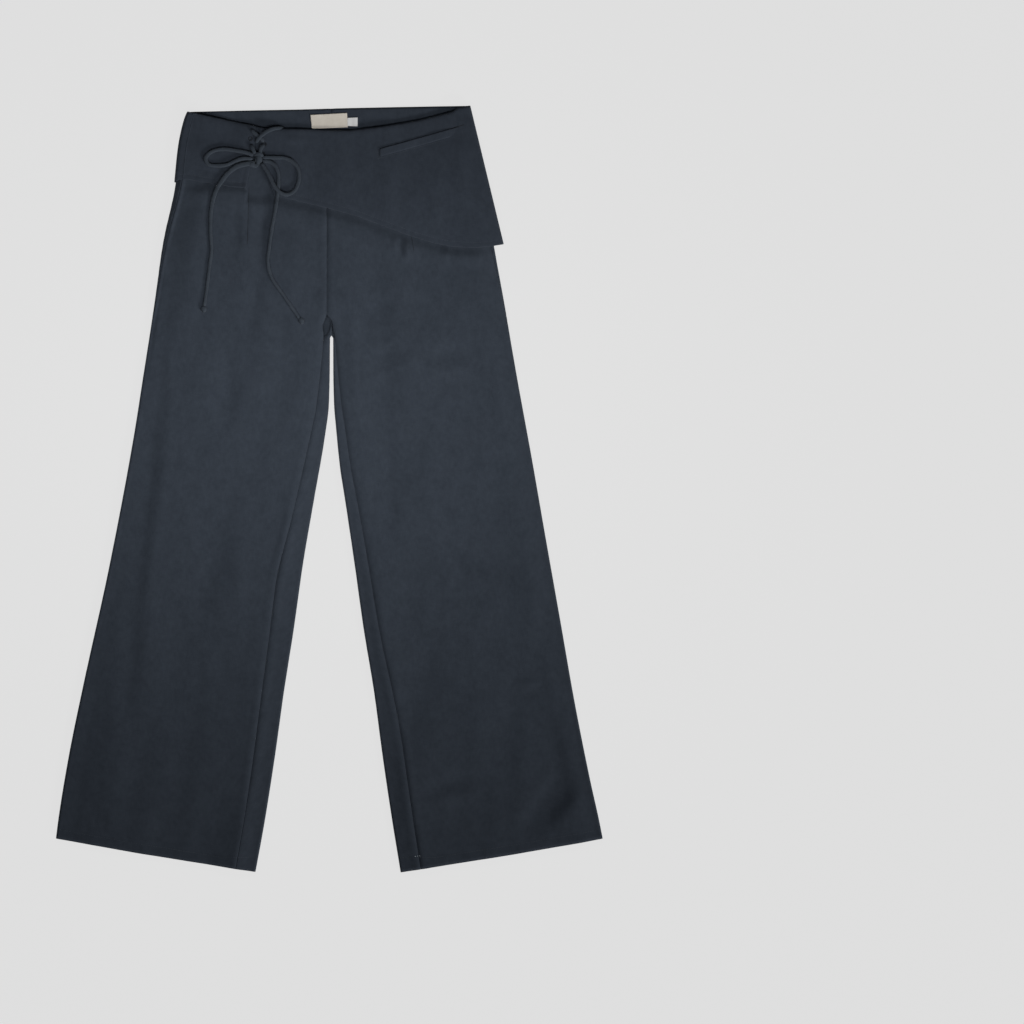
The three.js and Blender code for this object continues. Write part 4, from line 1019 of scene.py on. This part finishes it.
share = np.linspace(0, 1, 60)[None, :]
deep = np.linspace(-0.5, 0.5, 13)[:, None]
x = WELT["left"] + (WELT["right"] - WELT_SHORT - WELT["left"]) * share + 0 * deep
down = welt_down(x) + WELT["deep"] * deep
bpy.context.view_layer.update()
under = np.vectorize(lambda a, b: surface([pieces["lap", "left"]], a, b))(x, down)
crown = WELT_CROWN * np.sqrt(np.clip(1 - (2 * deep) ** 2, 0, 1))
z = under + WELT["thick"] / 2 + WELT_OFF + crown
z = z - WELT_FADE * ease(share, WELT_FADE_FROM, 1) - WELT_TILT * (deep + 0.5)
welt = cloth_mesh("pocket_welt_cloth", x, down, z, x, shaded_slate_lap, 1, WELT["thick"])
finish_piece(welt, "pocket_welt", "overlay", (0.121, 0.0105), None, ["overlay_left_cloth"])
bpy.context.view_layer.update()
bed = [welt, pieces["lap", "left"]]
block = []
for off in BLOCK:
    x0 = WELT["left"] + off
    places = [(x0 + BLOCK_LEAN * v, welt_down(x0) + v) for v in np.linspace(*BLOCK_DEEP, 14)]
    block.append(row_on(bed, places, BLOCK_SUNK))
block.append(row_on(bed, beside_welt(*LOWER_ROW), LOWER_SUNK))
stitch_rows("welt_stitches", block, WELT_STITCH, thread, "pocket_welt", "overlay")
# This row of near-black thread paints the shadow inside the pocket's slit.
slit = row_on(bed, beside_welt(*SLIT_SHADOW_ROW), SLIT_SHADOW_SUNK)
stitch_rows("pocket_slit_shadow", [slit], SLIT_SHADOW_STITCH, painted_shade_thread, "pocket_welt", "overlay")


# Inside the back waist are a blank woven label of beige tape, its ends turned under, and a
# small white tab next to it. Both are sewn to the back's inner face.
TAPE_THICK = 0.5
TAPE_HEIGHT = GROUND + LAYER + CLOTH / 2 + 0.15 + 0.3  # of a tape's middle, just off the cloth
TAPE_WAVE, TAPE_ENDS = (0.25, 5, 1), (0.2, 0.035)  # how it waves, and how its ends swell
beige = cloth_material("beige tape", (0.81, 0.755, 0.66), (0.73, 0.67, 0.575), 2600, 0.3)
white = cloth_material("white tape", (0.84, 0.84, 0.83), (0.78, 0.78, 0.77), 2600, 0.2)
BACKS = ["back_right_cloth", "back_left_cloth"]
LABELS = {
    # corners from the top left round as x and down, material, slot, what it is sewn to
    "label_main": (((-26, 12.6), (23.7, 9.9), (25, 29.6), (-24, 31.6)), beige, "label", BACKS),
    "label_size": (((24.2, 16.6), (38.2, 16), (38.2, 28.2), (24.6, 27.6)), white, "tab", BACKS[1:]),
}
for name, (corners, tape, slot_name, under) in LABELS.items():
    share = np.linspace(0, 1, 40)[None, :]
    deep = np.linspace(0, 1, 20)[:, None, None]
    corner = np.array(corners, float)
    upper = corner[0] + (corner[1] - corner[0]) * share[..., None]
    lower = corner[3] + (corner[2] - corner[3]) * share[..., None]
    spot = upper * (1 - deep) + lower * deep
    x, down = spot[..., 0], spot[..., 1]
    (wave_high, waves, begin), (end_high, end_wide) = TAPE_WAVE, TAPE_ENDS
    z = TAPE_HEIGHT + lift_back(x, down) + wave_high * np.sin(share * waves + begin) ** 2
    z = z + end_high * bell(share * (1 - share), end_wide)
    piece = cloth_mesh(f"{name}_tape", x, down, z, x, tape, 1, TAPE_THICK)
    sides = np.linalg.norm(np.roll(corner, -1, axis=0) - corner, axis=1) * MM
    flat = tuple(round(float(sides[k] + sides[k + 2]) / 2, 4) for k in range(2))
    finish_piece(piece, name, slot_name, flat, None, under)


# One cloth tube laces the overlay's front pieces: it crosses at the upper eyelets, comes out at
# the lower ones, and is tied in a knot and a bow with two loops and two long tails.
TIE_WIDE, TIE_THICK, TIE_SIDES = 5.2, 3.0, 14
TIE_STEP = 2.0  # between its rings of points
TIE_OFF = 0.3  # above what it rests on
TIE_BED, KNOT_BED, BED_ROUNDS = 0.42, 0.4, 3  # how much of its width rests, and how evenly
KNOT_RISE = 0.95  # how high a knot's middle is, in half heights
TIE_SQUARE = 0.75  # below 1 its flattened section is fuller than an ellipse
TIE_DRAWN = (0.45, 0.85)  # its width at the two last rings at each end
TIE_UNEVEN = (0.05, 2.3, 0.03)  # its width waves by this, over this many rings, and jitters
TAIL_SLIM, TAIL_WIDE, TAIL_WIDE_LONG = 0.16, 0.32, 95  # the right tail is wider near the knot
TURN_WIDE = 0.2  # how much wider the turns on the knot are
GRAIN_STEP = 1.1  # between two points round the tube on its UV map
KNOT = {"x": -96.2, "down": 73.2, "across": 5.2, "along": 6.6, "high": 3.0}
END_KNOT = {"across": 3.6, "along": 4.4, "high": 2.4}
RIDGES, RIDGE_HIGH = 3, 0.09
TIE_ROUTES = {
    # x, down, lift over what the tie passes
    "tie_cross_right": [
        (-106.5, 33.5, 0), (-102.5, 37.5, 0), (-96.5, 42.5, 0), (-92, 46.5, 0), (-89.4, 50.5, -0.8),
    ],
    "tie_cross_left": [
        (-63, 30.8, -4.4), (-70, 31.2, -2.6), (-76.6, 32.4, -0.9), (-82.6, 34.8, 0.5),
        (-88.4, 38.6, 1.3), (-93.8, 43, 1.5), (-97.4, 47.4, 0.8), (-99.8, 51.4, -0.8),
    ],
    "tie_lead_right": [
        (-106, 53.6, -0.6), (-105.2, 56.6, 0.4), (-103.8, 60.5, 0.9), (-102, 64.4, 1.1),
        (-99.6, 68.4, 1.4),
    ],
    "tie_lead_left": [
        (-88, 53, -0.6), (-90.4, 55.4, 0.8), (-92.8, 58.8, 1.4), (-93.8, 63.4, 1.2), (-94, 68.2, 1.4),
    ],
    "tie_loop_right": [
        (-103.6, 68.6, 0.6), (-112, 65, 0.2), (-123.6, 62.6, 0), (-144.3, 60.1, 0), (-160, 63.8, 0),
        (-168, 72.4, 0), (-164.4, 80.4, 0), (-155, 82.4, 0), (-139.4, 81.4, 0), (-128.5, 76.5, 0),
        (-117.6, 72.8, 0.2), (-104, 73.4, 0.6),
    ],
    "tie_loop_left": [
        (-91.2, 71.4, 0.6), (-84, 71.2, 0.2), (-75, 71.4, 0), (-60.5, 72, 0), (-50, 77, 0),
        (-43, 85.7, 0), (-41, 96, 0), (-42.8, 107.4, 0), (-48, 117, 0.8), (-56.8, 122, 2.2),
        (-66, 119.6, 2.6), (-74, 111.6, 2.4), (-80.4, 99, 1.4), (-86, 88.5, 0.5), (-92.6, 79, 0.3),
    ],
    "tie_tail_right": [
        (-101.6, 77.2, 0.2), (-107, 79.4, 0), (-113, 80.2, 0), (-124, 83, 0), (-135.9, 91, 0),
        (-145.5, 102.5, 0), (-154, 117, 0), (-160, 140, 0), (-161.3, 170, 0), (-160, 198.6, 0),
        (-162.5, 217.6, 0), (-166.2, 247.5, 0), (-169.8, 274, 0),
    ],
    "tie_tail_left": [
        (-91, 75.6, 0.4), (-86, 76.2, 0.1), (-80, 77.6, 0), (-73.4, 83, 0), (-69.6, 93, 0),
        (-69, 106, 0), (-70.6, 123.8, 0), (-73, 140, 0), (-78, 168, 0), (-82, 196, 0),
        (-83.6, 213, 0), (-78.5, 234, 0), (-61, 260, 0), (-40, 290.6, 0),
    ],
}
TAIL_ENDS = {"right": (-170.4, 277.4), "left": (-38, 293.4)}
KNOT_TURNS = [  # the turns of the tube that show on the knot
    [(-96.4, 65.6, 0.8), (-96, 69, 3.0), (-95.8, 73, 3.7), (-96.2, 77, 2.9), (-97.4, 81, 0.8)],
    [(-96, 80.4, 0.5), (-100.8, 82.4, 1.1), (-105.4, 81, 0.7), (-109, 78.4, 0)],
    [(-102.2, 68.2, 1.0), (-98.5, 67.2, 2.0), (-94, 67.4, 2.1), (-90, 69.6, 0.8)],
]
tie_cloth = cloth_material("tie cloth", (0.0445, 0.0552, 0.0695), (0.031, 0.0392, 0.051), 1900, 0.25)


def top_of(x, down):
    """Height of the face of what lies uppermost, with its folds, for things that rest on it."""
    right = x < CENTRE_FRONT
    out = np.where(right, -x, x)
    lap = along(LAP_BACK_HEM, x)
    top = GROUND + LAYER * (1 - ease(down, lap + PAST_HEM, lap + OFF_HEM))
    for form in (rise, lift_front):
        top = top + np.where(right, form(RIGHT_LEG, out, down), form(LEFT_LEG, out, down))
    top = top + lift_back(x, down) + CLOTH / 2
    on_right = (-x > along(LAP_RIGHT_FREE, down)) & (down < along(LAP_RIGHT_HEM, x))
    on_left = (x > along(LAP_LEFT_FREE, down)) & (down < along(LAP_LEFT_HEM, x))
    return np.where(on_right | on_left, top + LAYER + lap_own(x, down), top)


def high_near(x, down, around):
    steps = np.linspace(-around, around, 5)
    dx, dd = np.meshgrid(steps, steps)
    return top_of(x + dx, down + dd).max()


def through(t, values, at):
    """A smooth line through all the values."""
    slope = np.gradient(values, t)
    i = np.clip(np.searchsorted(t, at, side="right") - 1, 0, len(t) - 2)
    span = t[i + 1] - t[i]
    s = (at - t[i]) / span
    start = (2 * s**3 - 3 * s**2 + 1) * values[i] + (s**3 - 2 * s**2 + s) * span * slope[i]
    return start + (3 * s**2 - 2 * s**3) * values[i + 1] + (s**3 - s**2) * span * slope[i + 1]


def tie_path(rows):
    """Evenly spaced points on a smooth line, which rest on the cloth below."""
    marks = np.array(rows, float)
    t = np.concatenate([[0], np.cumsum(np.hypot(*np.diff(marks[:, :2], axis=0).T) ** 0.5)])
    fine = np.linspace(0, t[-1], 600)
    line = np.stack([through(t, marks[:, k], fine) for k in range(3)], axis=1)
    run = np.concatenate([[0], np.cumsum(np.hypot(*np.diff(line[:, :2], axis=0).T))])
    even = np.linspace(0, run[-1], max(int(run[-1] / TIE_STEP), 4) + 1)
    x, down, lift = (np.interp(even, run, line[:, k]) for k in range(3))
    bed = np.array([high_near(a, b, TIE_WIDE * TIE_BED) for a, b in zip(x, down)])
    for _ in range(BED_ROUNDS):
        padded = np.pad(bed, 1, mode="edge")
        bed = np.maximum(bed, (padded[:-2] + padded[1:-1] + padded[2:]) / 3)
    return np.stack([x, LENGTH / 2 - down, bed + TIE_OFF + TIE_THICK / 2 + lift], axis=1)


def rounded_mesh(name, points, lengths):
    """A closed tube of rings of points, with the cloth's grain along it."""
    sides = len(points) // len(lengths)
    faces = []
    for i in range(len(lengths) - 1):
        for k in range(sides):
            a, b = i * sides + k, i * sides + (k + 1) % sides
            faces.append((a, b, b + sides, a + sides))
    faces.append(tuple(range(sides - 1, -1, -1)))
    faces.append(tuple(range(len(points) - sides, len(points))))
    mesh = bpy.data.meshes.new(name)
    mesh.from_pydata(points.tolist(), [], faces)
    layer = mesh.uv_layers.new(name="cloth")
    for loop in mesh.loops:
        ring, k = divmod(loop.vertex_index, sides)
        layer.data[loop.index].uv = (k * GRAIN_STEP * MM, lengths[ring] * MM)
    if volume_of(points, np.array([face[:3] for face in faces])) < 0:
        mesh.flip_normals()
    mesh.materials.append(tie_cloth)
    mesh.shade_smooth()
    return put(name, mesh)


def length_of(path):
    return np.linalg.norm(np.diff(path, axis=0), axis=1).sum()


def tie_tube(name, path, seed, wider=0, slimmer=0):
    """A soft flattened tube with a slightly uneven width and closed, drawn-in ends."""
    dice = np.random.default_rng(seed)
    count = len(path)
    ahead = np.gradient(path, axis=0)
    ahead /= np.linalg.norm(ahead, axis=1, keepdims=True)
    across = np.stack([-ahead[:, 1], ahead[:, 0], 0 * ahead[:, 0]], axis=1)
    across /= np.linalg.norm(across, axis=1, keepdims=True)
    up = np.cross(ahead, across)
    up *= np.sign(up[:, 2:3])
    run = np.arange(count) / max(count - 1, 1)
    wave, wave_long, jitter = TIE_UNEVEN
    wavy = 1 + wave * np.sin(run * count / wave_long + dice.uniform(0, 6))
    wavy = wavy + jitter * dice.standard_normal(count)
    wavy *= 1 - slimmer + (wider + slimmer) * bell(np.arange(count) * TIE_STEP, TAIL_WIDE_LONG)
    to_end = np.minimum(np.arange(count), count - 1 - np.arange(count))
    drawn = np.array([*TIE_DRAWN, 1.0])[np.minimum(to_end, 2)]
    turn = (np.arange(TIE_SIDES) + 0.5) / TIE_SIDES * 2 * math.pi
    wide, tall = (np.sign(v) * np.abs(v) ** TIE_SQUARE for v in (np.cos(turn), np.sin(turn)))
    wide, tall = wide * TIE_WIDE / 2, tall * TIE_THICK / 2
    size = (wavy * drawn)[:, None, None]
    ring = path[:, None, :] + size * across[:, None, :] * wide[None, :, None]
    ring = ring + drawn[:, None, None] * up[:, None, :] * tall[None, :, None]
    return rounded_mesh(name, ring.reshape(-1, 3) * MM, run * length_of(path))


def tied_lump(name, at, size, seed):
    """A small tight knot: a rounded lump with the turns of the tube showing as ridges."""
    dice = np.random.default_rng(seed)
    rings, sides = 18, 28
    b = np.linspace(0.02, math.pi - 0.02, rings + 1)[:, None]
    a = np.linspace(0, 2 * math.pi, sides, endpoint=False)[None, :]
    lean = dice.uniform(0.6, 1.1)
    ridges = 1 + RIDGE_HIGH * np.sin(RIDGES * (b + lean * np.sin(a)) + dice.uniform(0, 6))
    dx = size["across"] * np.sin(b) * np.cos(a) * ridges
    dy = size["along"] * np.cos(b) * ridges + 0 * a
    dz = size["high"] * np.sin(b) * np.sin(a) * ridges
    middle = high_near(*at, size["across"] * KNOT_BED) + size["high"] * KNOT_RISE
    points = np.stack([at[0] + dx, LENGTH / 2 - at[1] + dy, middle + dz], axis=-1)
    lengths = np.arange(rings + 1) / rings * 2 * size["along"]
    return rounded_mesh(name, points.reshape(-1, 3) * MM, lengths)


for k, rows in enumerate(KNOT_TURNS):
    turn_piece = tie_tube(f"tie_knot_turn_{k + 1}", tie_path(rows), 20 + k, TURN_WIDE)
    finish_piece(turn_piece, "tie_knot", "tie")
lumps = {"tie_knot": tied_lump("tie_knot_cloth", (KNOT["x"], KNOT["down"]), KNOT, 2)}
for side_name, at in TAIL_ENDS.items():
    lumps[f"tie_end_{side_name}"] = tied_lump(f"tie_end_{side_name}_cloth", at, END_KNOT, 4)
for node, lump in lumps.items():
    finish_piece(lump, node, "tie")
for seed, (node, rows) in enumerate(TIE_ROUTES.items()):
    path = tie_path(rows)
    tail = "tail" in node
    wider = TAIL_WIDE if node == "tie_tail_right" else 0
    tube = tie_tube(f"{node}_cloth", path, seed, wider, TAIL_SLIM if tail else 0)
    finish_piece(tube, node, "tie")

size = {"cad": [[float(v) for v in corner] for corner in cad_box]}
size["visual"] = [[float(v) for v in corner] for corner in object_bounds()]
